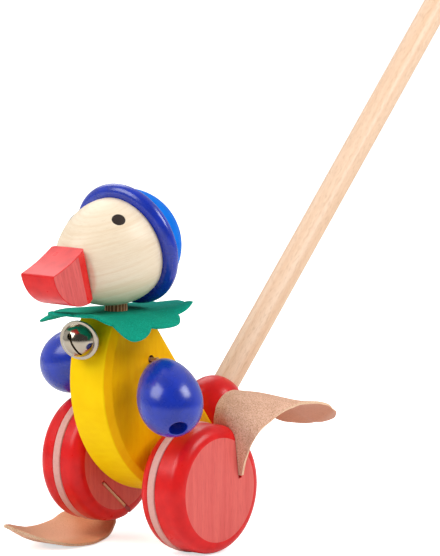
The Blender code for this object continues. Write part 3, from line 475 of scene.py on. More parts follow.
def between(table: Table, key: float) -> float:
    """Reads a smooth curve through a table.

    Args:
        table: Rows of key and value, with rising keys.
        key: Where to read.

    Returns:
        The value there, held past both ends.
    """
    if key <= table[0][0]:
        return table[0][1]
    if key >= table[-1][0]:
        return table[-1][1]
    last = len(table) - 1
    i = next(k for k in range(last) if key <= table[k + 1][0])
    slopes = []
    for k in (i, i + 1):
        before, after = table[max(k - 1, 0)], table[min(k + 1, last)]
        slopes.append((after[1] - before[1]) / (after[0] - before[0]))
    span = table[i + 1][0] - table[i][0]
    t = (key - table[i][0]) / span
    rise = t * t * (3 - 2 * t)
    bend = span * (slopes[0] * t * (1 - t) ** 2 - slopes[1] * t * t * (1 - t))
    return table[i][1] + (table[i + 1][1] - table[i][1]) * rise + bend


def route_point(points: list[Vector], length: float) -> Vector:
    """Finds a place on a smooth curve.

    Args:
        points: Points that the curve runs through.
        length: Way along it.

    Returns:
        The point there, or the last one past the end.
    """
    last = len(points) - 1
    samples = []
    for i in range(last):
        a, b, c, d = (points[min(max(k, 0), last)] for k in (i - 1, i, i + 1, i + 2))
        for t in (k / 40 for k in range(40)):
            curve = (2 * a - 5 * b + 4 * c - d) * t ** 2 + (3 * b - a - 3 * c + d) * t ** 3
            samples.append(0.5 * (2 * b + (c - a) * t + curve))
    samples.append(points[-1])
    for before, after in zip(samples, samples[1:]):
        step = (after - before).length
        if length <= step:
            return before.lerp(after, length / step)
        length -= step
    return samples[-1]


def towards(direction: Vector, place: Vector) -> Matrix:
    """Frame at a place with its Z along a direction."""
    return Matrix.Translation(place) @ Vector(direction).to_track_quat("Z", "Y").to_matrix().to_4x4()


def smooth_mesh(shape: bmesh.types.BMesh) -> bpy.types.Mesh:
    """Turns a bmesh into a mesh shaded smooth apart from its sharp edges.

    Args:
        shape: Shape to use up.

    Returns:
        The mesh, facing outwards.
    """
    bmesh.ops.recalc_face_normals(shape, faces=shape.faces[:])
    mesh = bpy.data.meshes.new("shape")
    shape.to_mesh(mesh)
    shape.free()
    mesh.shade_smooth()
    mesh.set_sharp_from_angle(angle=SHARP_ANGLE)
    return mesh


def lathe(profile: list[Point], segments: int = 96, ring: bool = False) -> bpy.types.Mesh:
    """Turns a profile about Z.

    Args:
        profile: Points of radius and height.
        segments: Facets round the axis.
        ring: Whether the last point joins the first.

    Returns:
        The turned mesh.
    """
    shape = bmesh.new()
    points = [shape.verts.new((radius, 0.0, height)) for radius, height in profile]
    edges = [shape.edges.new(ends) for ends in zip(points, points[1:])]
    if ring:
        edges.append(shape.edges.new((points[-1], points[0])))
    bmesh.ops.spin(shape, geom=points + edges, axis=(0, 0, 1), cent=(0, 0, 0), angle=2 * math.pi,
                   steps=segments, use_merge=True)
    bmesh.ops.remove_doubles(shape, verts=shape.verts[:], dist=MERGE_DISTANCE)
    return smooth_mesh(shape)


def prism(outline: list[Vector], push: Vector) -> bpy.types.Mesh:
    """Extrudes a closed outline to both sides.

    Args:
        outline: Points of the outline on its middle plane.
        push: Half of the extrusion, as a vector.

    Returns:
        The closed prism.
    """
    shape = bmesh.new()
    rims = [[shape.verts.new(point + push * sign) for point in outline] for sign in (-1, 1)]
    for rim in rims:
        shape.faces.new(rim)
    for i in range(len(outline)):
        k = (i + 1) % len(outline)
        shape.faces.new((rims[0][i], rims[0][k], rims[1][k], rims[1][i]))
    return smooth_mesh(shape)


def peg(radius: float, low: float, high: float, segments: int = 48) -> bpy.types.Mesh:
    """Plain round peg along Z between two heights, for drilling."""
    return lathe([(0.0, low), (radius, low), (radius, high), (0.0, high)], segments)


def block(size: Vector) -> bpy.types.Mesh:
    """Box of a size about the origin, for cutting."""
    shape = bmesh.new()
    bmesh.ops.create_cube(shape, size=1.0)
    bmesh.ops.scale(shape, verts=shape.verts[:], vec=size)
    return smooth_mesh(shape)


def grid_shell(upper: Grid, lower: Grid, closed: bool) -> bpy.types.Mesh:
    """Joins two like grids of points into one sheet with thickness.

    Args:
        upper: Rows of points on the upper face.
        lower: Rows of points on the lower face.
        closed: Whether each row closes on itself, as in a ring.

    Returns:
        The sheet, with material 0 above, 1 below and 2 on the cut edge.
    """
    shape = bmesh.new()
    faces = [[[shape.verts.new(point) for point in row] for row in grid] for grid in (upper, lower)]
    rows, columns = len(upper), len(upper[0])
    steps = columns if closed else columns - 1
    for index, grid in enumerate(faces):
        for i in range(rows - 1):
            for j in range(steps):
                k = (j + 1) % columns
                face = shape.faces.new((grid[i][j], grid[i][k], grid[i + 1][k], grid[i + 1][j]))
                face.material_index = index
    rims = [[(i, j) for j in range(columns)] for i in (0, rows - 1)]
    if not closed:
        rims += [[(i, j) for i in range(rows)] for j in (0, columns - 1)]
    for rim in rims:
        loop = rim + rim[:1] if closed else rim
        for (i, j), (m, n) in zip(loop, loop[1:]):
            face = shape.faces.new((faces[0][i][j], faces[0][m][n], faces[1][m][n], faces[1][i][j]))
            face.material_index = 2
    return smooth_mesh(shape)


def carried(points: list[Vector], closed: bool = False) -> list[tuple[Vector, Vector]]:
    """Carries two directions along a line without twisting them.

    Args:
        points: Points of the line.
        closed: Whether the line joins its own start.

    Returns:
        Two unit vectors across the line, square to each other, for each point.
    """
    count = len(points)
    across = Vector((0.0, 0.0, 1.0))
    pairs = []
    for i, point in enumerate(points):
        before = points[i - 1] if closed or i else point
        after = points[(i + 1) % count] if closed or i < count - 1 else point
        run = (after - before).normalized()
        across = (across - run * across.dot(run)).normalized()
        pairs.append((across, run.cross(across)))
    return pairs


def tube(points: list[Vector], radius: float, sides: int = 12, closed: bool = False) -> bpy.types.Mesh:
    """Round tube along points.

    Args:
        points: Middle line of the tube.
        radius: Radius of its section.
        sides: Facets of its section.
        closed: Whether it joins its own start.

    Returns:
        The tube, with flat ends where it is open.
    """
    shape = bmesh.new()
    count = len(points)
    turns = [2 * math.pi * k / sides for k in range(sides)]
    rings = []
    for point, (across, other) in zip(points, carried(points, closed)):
        spots = [point + (across * math.cos(a) + other * math.sin(a)) * radius for a in turns]
        rings.append([shape.verts.new(spot) for spot in spots])
    for i in range(count if closed else count - 1):
        first, second = rings[i], rings[(i + 1) % count]
        for k in range(sides):
            shape.faces.new((first[k], first[(k + 1) % sides], second[(k + 1) % sides], second[k]))
    if not closed:
        shape.faces.new(rings[0])
        shape.faces.new(rings[-1])
    return smooth_mesh(shape)


def settle(target: bpy.types.Object) -> None:
    """Applies an object's modifiers to its mesh."""
    bpy.context.view_layer.update()
    graph = bpy.context.evaluated_depsgraph_get()
    mesh = bpy.data.meshes.new_from_object(target.evaluated_get(graph), depsgraph=graph)
    mesh.name = target.name
    target.modifiers.clear()
    target.data = mesh


def carve(target: bpy.types.Object, cutter: bpy.types.Mesh, place: Matrix) -> None:
    """Cuts a shape out of an object.

    Args:
        target: Object to cut.
        cutter: Mesh of the shape.
        place: Frame of the shape in the world.
    """
    tool = bpy.data.objects.new("cutter", cutter)
    bpy.context.scene.collection.objects.link(tool)
    tool.matrix_world = place
    boolean = target.modifiers.new("cut", "BOOLEAN")
    boolean.operation = "DIFFERENCE"
    boolean.object = tool
    settle(target)
    bpy.data.objects.remove(tool)
    target.data.set_sharp_from_angle(angle=SHARP_ANGLE)


def soften(target: bpy.types.Object, width: float, angle: float = 25.0, segments: int = 3) -> None:
    """Rounds an object's edges that are sharper than an angle in degrees."""
    bevel = target.modifiers.new("soften", "BEVEL")
    bevel.width = width
    bevel.segments = segments
    bevel.limit_method = "ANGLE"
    bevel.angle_limit = math.radians(angle)
    bevel.harden_normals = True
    settle(target)


def recolour(target: bpy.types.Object, index: int, chosen: Callable[[Vector, Vector], bool]) -> None:
    """Gives a finish to chosen faces.

    Args:
        target: Object to paint.
        index: Place of the finish in the object's list.
        chosen: Says whether a face with a middle and a normal takes the finish.
    """
    for face in target.data.polygons:
        if chosen(face.center, face.normal):
            face.material_index = index


def show(node: str, mesh: bpy.types.Mesh, finishes: list[Finish], body: Body,
         place: Matrix) -> bpy.types.Object:
    """Puts a finished mesh in the place of a CAD node.

    Args:
        node: CAD node that the mesh stands for.
        mesh: The finer mesh, in its own frame.
        finishes: Finishes by material index.
        body: Body that it moves with.
        place: Frame of the mesh in the world.

    Returns:
        The new object.
    """
    made = bpy.data.objects.new(f"{node}_finished", mesh)
    mesh.name = made.name
    bpy.context.scene.collection.objects.link(made)
    made.matrix_world = place
    for finish in finishes:
        mesh.materials.append(finish.material())
    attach(made, body.value)
    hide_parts(node)
    LOG.info("%s: %d faces, rides on %s", made.name, len(mesh.polygons), body.value)
    return made


def dress(frame: dict, node: str, finish: Finish) -> None:
    """Gives a carried-over CAD node its finish."""
    mesh = frame["nodes"][node].data
    mesh.materials.clear()
    mesh.materials.append(finish.material())
    LOG.info("%s: CAD solid in %s", node, finish.name)


@dataclass
class SubAssembly:
    """Part of the duck, laid out from the floor under the axle.

    Attributes:
        floor: Floor point under the middle of the axle, in the row frame.
        axle_height: Height of the axle's middle.
    """

    floor: Vector
    axle_height: float

    def at(self, x: float, y: float, z: float) -> Vector:
        """Point in the row frame of a place in the duck's own layout."""
        return self.floor + Vector((x, y, z))


@dataclass
class BodyBoard(SubAssembly):
    """Half-disc body with bevelled rims and the hole for the wing cord."""

    thickness: float = 0.031
    chamfer: float = 0.0036
    edge_rounding: float = 0.0006
    belly_radius: float = 0.0675
    belly_back: float = 0.0158
    belly_above_axle: float = 0.0552
    back_slope: float = 51.7
    back_offset: float = -0.0013
    top: float = 0.1315
    hole_back: float = -0.0159
    hole_height: float = 0.1070
    hole_radius: float = 0.0015
    hole_mouth: float = 0.0023
    hole_mouth_depth: float = 0.0030
    axle_radius: float = 0.00415
    solid: bpy.types.Object | None = None

    @property
    def belly_centre(self) -> Vector:
        """Middle of the belly's circle in the duck's layout."""
        return Vector((0.0, self.belly_back, self.axle_height + self.belly_above_axle))

    @property
    def back_run(self) -> Vector:
        """Direction of the straight back, downwards."""
        slope = math.radians(self.back_slope)
        return Vector((0.0, math.cos(slope), -math.sin(slope)))

    @property
    def back_normal(self) -> Vector:
        """Direction out of the straight back."""
        slope = math.radians(self.back_slope)
        return Vector((0.0, math.sin(slope), math.cos(slope)))

    def outline(self, inset: float) -> list[Point]:
        """Gives the board's outline about the belly's centre, drawn in from its rim.

        Args:
            inset: How far it is drawn in.

        Returns:
            Points of (back, up), from the chest round the belly to the tail, and the back's top corner.
        """
        radius = self.belly_radius - inset
        offset = self.back_offset - inset
        rise = self.top - self.belly_centre.z - inset
        start = 180 - math.degrees(math.asin(rise / radius))
        tail = self.back_run * math.sqrt(radius ** 2 - offset ** 2) + self.back_normal * offset
        end = 360 + math.degrees(math.atan2(tail.z, tail.y))
        along = (rise - self.back_normal.z * offset) / self.back_run.z
        corner = self.back_normal * offset + self.back_run * along
        return [*arc((0.0, 0.0), radius, start, end, 120), (corner.y, corner.z)]

    def build(self) -> None:
        """Lofts the board with its bevelled rims, and drills it for the axle, stick, neck and cord."""
        half = self.thickness / 2
        ease = self.edge_rounding
        rim = half - self.chamfer
        steps = [(0.0, 0.0), (rim - ease, 0.0), (rim, ease * 0.12), (rim + ease * 0.7, ease * 0.8),
                 (half - ease * 0.8, self.chamfer - ease * 0.7), (half - ease * 0.12, self.chamfer),
                 (half, self.chamfer + ease)]
        steps = [(-x, inset) for x, inset in steps[:0:-1]] + steps
        shape = bmesh.new()
        rings = [[shape.verts.new((x, y, z)) for y, z in self.outline(inset)] for x, inset in steps]
        for first, second in zip(rings, rings[1:]):
            for i in range(len(first)):
                shape.faces.new((first[i - 1], first[i], second[i], second[i - 1]))
        for ring in (rings[0], rings[-1]):
            shape.faces.new(ring)
        mesh = smooth_mesh(shape)
        place = Matrix.Translation(self.floor + self.belly_centre)
        board = show("body_board", mesh, [YELLOW, YELLOW_SIDE_PAINTED_SHADE, BORE_PAINTED_SHADE], Body.DUCK, place)
        past = half * OVERCUT
        flare = self.hole_mouth + (self.hole_mouth - self.hole_radius) * (past - half) / self.hole_mouth_depth
        waist = half - self.hole_mouth_depth
        drill = lathe([(0.0, -past), (flare, -past), (self.hole_radius, -waist), (self.hole_radius, waist),
                       (flare, past), (0.0, past)], 40)
        across = Vector((1.0, 0.0, 0.0))
        carve(board, drill, towards(across, self.at(0.0, self.hole_back, self.hole_height)))
        axle = peg(self.axle_radius, -past, past)
        carve(board, axle, towards(across, self.at(0.0, 0.0, self.axle_height)))
        # Flat sides and chamfers take the more orange copy of the yellow: painted shade
        recolour(board, 1, lambda middle, normal: abs(normal.x) > 0.3 and abs(middle.x) > rim + ease)
        hole = Vector((0.0, self.hole_back - self.belly_back, self.hole_height - self.belly_centre.z))
        # Faces in and round the cord's hole take the dark bore colour: painted shade
        recolour(board, 2, lambda middle, normal: (middle - hole).yz.length < self.hole_mouth)
        self.solid = board

    def drill(self, radius: float, depth: float, place: Matrix) -> None:
        """Drills the board for a dowel that stands in it.

        Args:
            radius: Radius of the dowel.
            depth: How far the hole reaches along both ways of the frame's Z.
            place: Frame in the world at the hole's mouth, with Z along the dowel.
        """
        carve(self.solid, peg(radius + SEAT_GAP, -depth - SEAT_GAP, depth), place)


@dataclass
class Stick(SubAssembly):
    """Push stick and the drilled ball that it runs through."""

    board: BodyBoard | None = None
    diameter: float = 0.015
    length: float = 0.520
    slope: float = 46.9
    in_body: float = 0.024
    end_rounding: float = 0.002
    ball_diameter: float = 0.033
    ball_along_back: float = 0.0428
    bore_rounding: float = 0.0006

    def build(self) -> None:
        """Makes the ball and the stick."""
        slope = math.radians(self.slope)
        run = Vector((0.0, math.cos(slope), math.sin(slope)))
        seat = self.ball_diameter / 2 + SEAT_GAP
        centre = (self.board.belly_centre + self.board.back_run * self.ball_along_back
                  + self.board.back_normal * (self.board.back_offset + seat))
        start = centre - run * (seat / run.dot(self.board.back_normal) + self.in_body)
        mouth = start + run * self.in_body
        self.board.drill(self.diameter / 2, self.in_body, towards(run, self.floor + mouth))
        radius = self.ball_diameter / 2
        bore = self.diameter / 2 + SEAT_GAP
        lip = bore + self.bore_rounding
        edge = math.degrees(math.acos(lip / radius))
        rise = radius * math.sin(math.radians(edge))
        profile = [(bore, -rise + self.bore_rounding), *arc((0.0, 0.0), radius, -edge, edge, 48),
                   (bore, rise - self.bore_rounding)]
        show("tail_ball", lathe(profile, 80, ring=True), [RED], Body.DUCK,
             towards(run, self.floor + centre))
        turn = (self.diameter / 2 - self.end_rounding, self.length - self.end_rounding)
        end = [*arc(turn, self.end_rounding, 0, 90, 8), (0.0, self.length)]
        show("push_stick", lathe([(0.0, 0.0), (self.diameter / 2, 0.0), *end], 64),
             [BEECH], Body.DUCK, towards(run, self.floor + start))


@dataclass
class Neck(SubAssembly):
    """Fluted neck dowel and the scalloped felt collar round it."""

    board: BodyBoard | None = None
    diameter: float = 0.0125
    back: float = -0.0272
    seat: float = 0.1315
    flutes: int = 18
    flute_depth: float = 0.0007
    in_body: float = 0.018
    collar_radius: float = 0.042
    collar_thickness: float = 0.0022
    collar_notch: float = 0.0068
    collar_flat_radius: float = 0.0195
    first_lobe: float = 16.0
    lobe_droops: tuple[float, ...] = (-0.003, -0.0056, 0.004, 0.0106, -0.003, -0.0025, 0.0052, 0.003,
                                      0.005, 0.0)
    lobe_power: float = 0.7
    hang_power: float = 1.3
    ripple: float = 0.0004
    ripple_length: float = 0.00625

    def build(self) -> None:
        """Makes the dowel and the collar."""
        low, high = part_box("neck_dowel")
        outer = self.diameter / 2
        outline = []
        for i in range(10 * self.flutes):
            angle = 2 * math.pi * i / (10 * self.flutes)
            radius = outer - self.flute_depth * (0.5 - 0.5 * math.cos(self.flutes * angle)) ** 0.7
            outline.append(Vector((radius * math.cos(angle), radius * math.sin(angle), 0.0)))
        half = (high.z - low.z) / 2
        dowel = show("neck_dowel", prism(outline, Vector((0.0, 0.0, half))),
                     [NECK_BEECH, NECK_GROOVE_PAINTED_SHADE], Body.DUCK,
                     Matrix.Translation(self.at(0.0, self.back, low.z + half)))
        # Faces deep in the flutes take the darker copy: painted shade in the grooves
        recolour(dowel, 1, lambda middle, normal: middle.xy.length < outer - self.flute_depth * 0.6)
        self.board.drill(outer, self.in_body, Matrix.Translation(self.at(0.0, self.back, self.seat)))
        collar = show("collar", self.collar_mesh(), [FELT, FELT, FELT], Body.DUCK,
                      Matrix.Translation(self.at(0.0, self.back, self.seat)))

    def edge(self, angle: float) -> float:
        """Reach of the scalloped edge at an angle in degrees from the back."""
        lobe = abs(math.cos(math.radians(angle - self.first_lobe) * len(self.lobe_droops) / 2))
        return self.collar_radius - self.collar_notch * (1 - lobe ** self.lobe_power)

    def droop(self, angle: float) -> float:
        """How far the edge hangs at an angle in degrees from the back."""
        count = len(self.lobe_droops)
        place = (angle - self.first_lobe) / 360 * count
        i = math.floor(place)
        share = place - i
        first, second = self.lobe_droops[i % count], self.lobe_droops[(i + 1) % count]
        return first + (second - first) * share * share * (3 - 2 * share)

    def collar_mesh(self) -> bpy.types.Mesh:
        """Gives the felt ring, flat round the neck, with lobes that hang or stand and soft ripples.

        Returns:
            The ring about the neck's axis, from the height of its seat.
        """
        columns, rows = 300, 26
        hole = self.diameter / 2 + SEAT_GAP
        loose = self.collar_radius - self.collar_flat_radius
        grids = ([], [])
        for i in range(rows):
            share = i / (rows - 1)
            rings = ([], [])
            for j in range(columns):
                angle = 360 * j / columns
                turn = math.radians(angle)
                reach = hole + (self.edge(angle) - hole) * share
                hang = max(0.0, (reach - self.collar_flat_radius) / loose)
                middle = SEAT_GAP + self.collar_thickness / 2 - self.droop(angle) * hang ** self.hang_power
                place = Vector((reach * math.sin(turn), reach * math.cos(turn), 0.0))
                middle += self.ripple * hang * noise.noise(place / self.ripple_length)
                rim = min(1.0, (1 - share) * 12 + 0.45)
                for sign, ring in zip((1, -1), rings):
                    ring.append(place + Vector((0.0, 0.0, middle + sign * self.collar_thickness / 2 * rim)))
            for grid, ring in zip(grids, rings):
                grid.append(ring)
        return grid_shell(grids[0], grids[1], closed=True)


@dataclass
class Head(SubAssembly):
    """Egg head with eye plugs, beak and a two-part cap, along an axis that runs back and up."""

    tilt: float = 16.1
    cap_back: float = -0.018
    cap_height: float = 0.16984
    radius: float = 0.0285
    half_length: float = 0.0339
    girth_back: float = -0.0189
    taper: float = 0.264
    front: float = 0.0447
    flat_rounding: float = 0.0006
    brim_radius: float = 0.0349
    brim_thickness: float = 0.0084
    crown_radius: float = 0.0307
    crown_height: float = 0.0286
    eye_diameter: float = 0.0074
    eye_depth: float = 0.005
    eye_forward: float = 0.0198
    eye_from_top: tuple[float, float] = (35.4, 43.5)
    eye_dome: float = 0.0005
    eye_sunk: float = 0.0003
    eye_clearance: float = 0.0001
    beak_width: float = 0.024
    beak_chamfer: float = 0.0022
    beak_taper: float = 0.0019
    beak_taper_length: float = 0.0066
    beak_round: float = 0.0237
    beak_round_forward: float = 0.0048
    beak_round_rise: float = 0.009
    beak_top_rise: float = 0.0156
    beak_top_hollow: float = 0.0009
    beak_lip: float = 0.0012
    beak_edge: float = 0.0004

    @property
    def place(self) -> Matrix:
        """Frame of the head: Z back along its axis, -Y to its top, from the brim's middle."""
        turn = Euler((math.radians(self.tilt - 90), 0.0, 0.0)).to_matrix().to_4x4()
        return Matrix.Translation(self.at(0.0, self.cap_back, self.cap_height)) @ turn

    def egg(self, height: float) -> float:
        """Radius of the egg at a height along the head's axis."""
        return egg_radius(height - self.girth_back, self.radius, self.half_length, self.taper)

    def build(self) -> None:
        """Makes the egg, its eyes, the beak and the cap."""
        rear = -self.brim_thickness / 2 - SEAT_GAP
        steps = 64
        heights = [-self.front + self.flat_rounding + (rear + self.front - self.flat_rounding) * i / steps
                   for i in range(steps + 1)]
        skin = [(self.egg(h), h) for h in heights]
        flat = self.egg(-self.front) - self.flat_rounding
        profile = [(0.0, -self.front), (flat, -self.front), *skin, (0.0, rear)]
        head = show("head", lathe(profile, 112), [MAPLE], Body.DUCK, self.place)
        for side in Side:
            self.build_eye(head, side)
        self.build_beak()
        self.build_cap()

    def build_eye(self, head: bpy.types.Object, side: Side) -> None:
        """Makes one flush dark plug and its hole.

        Args:
            head: The egg.
            side: Side of the eye.
        """
        height = -self.eye_forward
        step = 0.0005
        radius = self.egg(height)
        slope = (self.egg(height + step) - radius) / step
        turn = math.radians(self.eye_from_top[0 if side is Side.LEFT else 1])
        out = Vector((side.value * math.sin(turn), -math.cos(turn), 0.0))
        normal = (out - Vector((0.0, 0.0, slope))).normalized()
        place = self.place @ towards(normal, out * radius + Vector((0.0, 0.0, height)))
        plug = self.eye_diameter / 2
        carve(head, peg(plug + self.eye_clearance, -self.eye_depth, self.eye_depth), place)
        dome = [(plug * math.cos(a), self.eye_dome * math.sin(a) - self.eye_sunk)
                for a in (math.radians(90 * i / 10) for i in range(10))]
        profile = [(0.0, -self.eye_depth), (plug, -self.eye_depth), *dome,
                   (0.0, self.eye_dome - self.eye_sunk)]
        show(f"eye_{side.label}", lathe(profile, 48), [EBONY], Body.DUCK, place)

    def build_beak(self) -> None:
        """Makes the beak block: hollowed top, thin lip, round underside, sanded sides whose coral is partly
        stain and partly painted reflection.
        """
        back = -self.front - SEAT_GAP
        front = back - self.beak_round_forward - self.beak_round
        top = []
        for i in range(24):
            share = i / 24
            rise = self.beak_top_rise + (self.beak_round_rise + self.beak_lip - self.beak_top_rise) * share
            rise -= self.beak_top_hollow * math.sin(math.pi * share)
            top.append((back + (front + self.beak_lip - back) * share, rise))
        tip = arc((front + self.beak_lip, self.beak_round_rise), self.beak_lip, 90, 180, 6)
        under = arc((back - self.beak_round_forward, self.beak_round_rise), self.beak_round, 181, 270, 40)
        corner = (back, self.beak_round_rise - self.beak_round + self.beak_chamfer / 3)
        outline = [Vector((0.0, -rise, height)) for height, rise in (*top, *tip, *under, corner)]
        half = self.beak_width / 2
        mesh = prism(outline, Vector((half, 0.0, 0.0)))
        shape = bmesh.new()
        shape.from_mesh(mesh)
        whole = shape.verts[:] + shape.edges[:] + shape.faces[:]
        taper_from = Vector((0.0, 0.0, back - self.beak_taper_length))
        bmesh.ops.bisect_plane(shape, geom=whole, dist=MERGE_DISTANCE, plane_co=taper_from,
                               plane_no=(0.0, 0.0, 1.0))
        for vert in shape.verts:
            if vert.co.z > back - MERGE_DISTANCE * 10:
                vert.co.x *= (half - self.beak_taper) / half
        shape.to_mesh(mesh)
        shape.free()
        mesh.shade_smooth()
        beak = show("beak", mesh, [RED, CORAL_STAIN_AND_REFLECTION_BEAK], Body.DUCK, self.place)
        soften(beak, self.beak_edge, segments=2)
        # Flat sides take the coral stain with painted reflection
        recolour(beak, 1, lambda middle, normal: abs(normal.x) > 0.99)

    def build_cap(self) -> None:
        """Makes the round-edged brim and the domed crown."""
        half = self.brim_thickness / 2
        brim = [(0.0, -half), *arc((self.brim_radius - half, 0.0), half, -90, 90, 28), (0.0, half)]
        show("cap_brim", lathe(brim, 128), [BLUE], Body.DUCK, self.place)
        base = half + SEAT_GAP
        start = math.asin(base / self.crown_height)
        dome = []
        for i in range(40):
            angle = start + (math.pi / 2 - start) * i / 40
            dome.append((self.crown_radius * math.cos(angle), self.crown_height * math.sin(angle)))
        crown = [(0.0, base), *dome, (0.0, self.crown_height)]
        show("cap_crown", lathe(crown, 112), [SKY], Body.DUCK, self.place)


@dataclass
class Bell(SubAssembly):
    """Jingle bell of two crimped shells on the chest, with its slot and pellet."""

    board: BodyBoard | None = None
    radius: float = 0.0092
    wall: float = 0.0007
    flange_radius: float = 0.0112
    flange_thickness: float = 0.0006
    rise: float = 0.1205
    yaw: float = 19.0
    pitch: float = -12.5
    slot_width: float = 0.0012
    slot_length: float = 0.0124
    slot_low_end: float = 0.0072
    slot_hole: float = 0.003
    slot_angle: float = -63.5
    shank_radius: float = 0.0015
    shank_in_chest: float = 0.008
    crease_radius: float = 0.0008

    @property
    def centre(self) -> Vector:
        """Middle of the bell in the duck's layout."""
        belly = self.board.belly_centre
        reach = self.board.belly_radius + self.radius + SEAT_GAP
        forward = math.sqrt(reach ** 2 - (self.rise - belly.z) ** 2)
        return Vector((0.0, belly.y - forward, self.rise))

    def shell(self) -> bpy.types.Mesh:
        """Gives one half shell with its rolled flange, open below.

        Returns:
            The shell about the flange's middle, dome up.
        """
        gap = SEAT_GAP / 2
        lip = self.flange_thickness / 2
        fillet = self.crease_radius
        top = gap + self.flange_thickness
        start = math.degrees(math.asin((top + fillet) / self.radius))
        inner = self.radius - self.wall
        inner_start = math.degrees(math.asin(gap / inner))
        foot = self.radius * math.cos(math.radians(start))
        outside = arc((0.0, 0.0), self.radius, start, 90, 32)[:-1] + [(0.0, self.radius)]
        inside = [(0.0, inner)] + arc((0.0, 0.0), inner, 90, inner_start, 24)[1:]
        rim = arc((self.flange_radius - lip, gap + lip), lip, -90, 90, 8)
        crease = arc((foot + fillet, top + fillet), fillet, 270, 190, 6)
        return lathe([*inside, *rim, *crease, *outside], 88)

    def build(self, frame: dict) -> None:
        """Makes both shells, cuts the sound slot and dresses the shank and the pellet.

        Args:
            frame: The loaded frame.
        """
        turn = Euler((math.radians(90 - self.pitch), 0.0, math.radians(self.yaw))).to_matrix().to_4x4()
        place = Matrix.Translation(self.floor + self.centre) @ turn
        flip = Matrix.Rotation(math.pi, 4, "X")
        front = show("bell_front_shell", self.shell(), [NICKEL], Body.DUCK, place)
        show("bell_rear_shell", self.shell(), [NICKEL], Body.DUCK, place @ flip)
        angle = math.radians(self.slot_angle)
        run = Vector((math.cos(angle), math.sin(angle), 0.0))
        out = Vector((0.0, 0.0, self.radius))
        middle = run * (self.slot_low_end - self.slot_length / 2) + out
        slot = block(Vector((self.slot_length, self.slot_width, self.radius)))
        carve(front, slot, place @ Matrix.Translation(middle) @ Matrix.Rotation(angle, 4, "Z"))
        mouth = run * (self.slot_low_end - self.slot_length) + out
        drill = peg(self.slot_hole / 2, -self.radius, self.radius, 32)
        carve(front, drill, place @ Matrix.Translation(mouth))
        dress(frame, "bell_shank", NICKEL)
        inward = (self.board.belly_centre - self.centre).normalized()
        chest = self.floor + self.centre + inward * (self.radius + SEAT_GAP)
        self.board.drill(self.shank_radius, self.shank_in_chest, towards(-inward, chest))
        low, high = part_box("bell_pellet")
        radius = (high.z - low.z) / 2
        ball = [(0.0, -radius), *arc((0.0, 0.0), radius, -84, 84, 24), (0.0, radius)]
        show("bell_pellet", lathe(ball, 32), [NICKEL], Body.PELLET,
             Matrix.Translation((low + high) / 2))


@dataclass(frozen=True)
class FootShape:
    """Form of one leather foot, read along the leather from the slot's inner end.

    Attributes:
        slot_length: Length of leather in the wheel's slot.
        slot_angle: Way that the slot runs, in degrees from the back upwards.
        mouth_angle: Where the slot meets the rim, in degrees about the wheel's middle.
        route: Bend of the leather's middle past the rim, from the slot's mouth as (back, up).
        outer: Outer edge from the wheel's middle.
        inner: Inner edge from the wheel's middle, past the rim.
        outer_sag: How far the outer edge sags, or rises where it is below zero.
        inner_sag: How far the inner edge hangs.
        grain: Finish of the hide's grain side.
    """

    slot_length: float
    slot_angle: float
    mouth_angle: float
    route: Table
    outer: Table
    inner: Table
    outer_sag: Table
    inner_sag: Table
    grain: Finish = GRAIN_LEATHER


# Raised foot of the left wheel, curled over to the back
LEFT_FOOT = FootShape(
    slot_length=0.0285, slot_angle=97.9, mouth_angle=69.7,
    route=((0.0009, 0.0050), (0.0049, 0.0095), (0.0129, 0.0129), (0.0227, 0.0140), (0.0333, 0.0124),
           (0.0449, 0.0086), (0.0572, 0.0032), (0.0698, -0.0032), (0.0800, -0.0078), (0.0905, -0.0066)),
    outer=((0.000, 0.0167), (0.012, 0.0208), (0.021, 0.0234), (0.028, 0.0256), (0.042, 0.0282),
           (0.052, 0.0290), (0.064, 0.0290), (0.077, 0.0280), (0.091, 0.0272), (0.104, 0.0260),
           (0.114, 0.0234), (0.122, 0.0194), (0.128, 0.0146), (0.132, 0.0100)),
    inner=((0.042, -0.0029), (0.052, -0.0058), (0.064, -0.0089), (0.077, -0.0108), (0.091, -0.0104),
           (0.104, -0.0074), (0.114, -0.0024), (0.122, 0.0032), (0.128, 0.0074), (0.132, 0.0094)),
    outer_sag=((0.0080, 0.0), (0.0160, 0.0022), (0.0210, 0.0040), (0.0285, 0.0076), (0.0345, 0.0104),
               (0.0410, 0.0118), (0.0505, 0.0106), (0.0625, 0.0080), (0.0730, 0.0038), (0.0850, -0.0009),
               (0.0980, -0.0052), (0.1110, -0.0082), (0.1220, -0.0080), (0.1280, -0.0048),
               (0.1320, -0.0010)),
    inner_sag=((0.0340, 0.0), (0.0410, 0.0010), (0.0505, 0.0006), (0.0625, 0.0006), (0.0730, 0.0022),
               (0.0850, 0.0058), (0.0980, 0.0092), (0.1090, 0.0112), (0.1210, 0.0094), (0.1320, 0.0)),
    grain=GRAIN_LEATHER_PAINTED_SHADE)
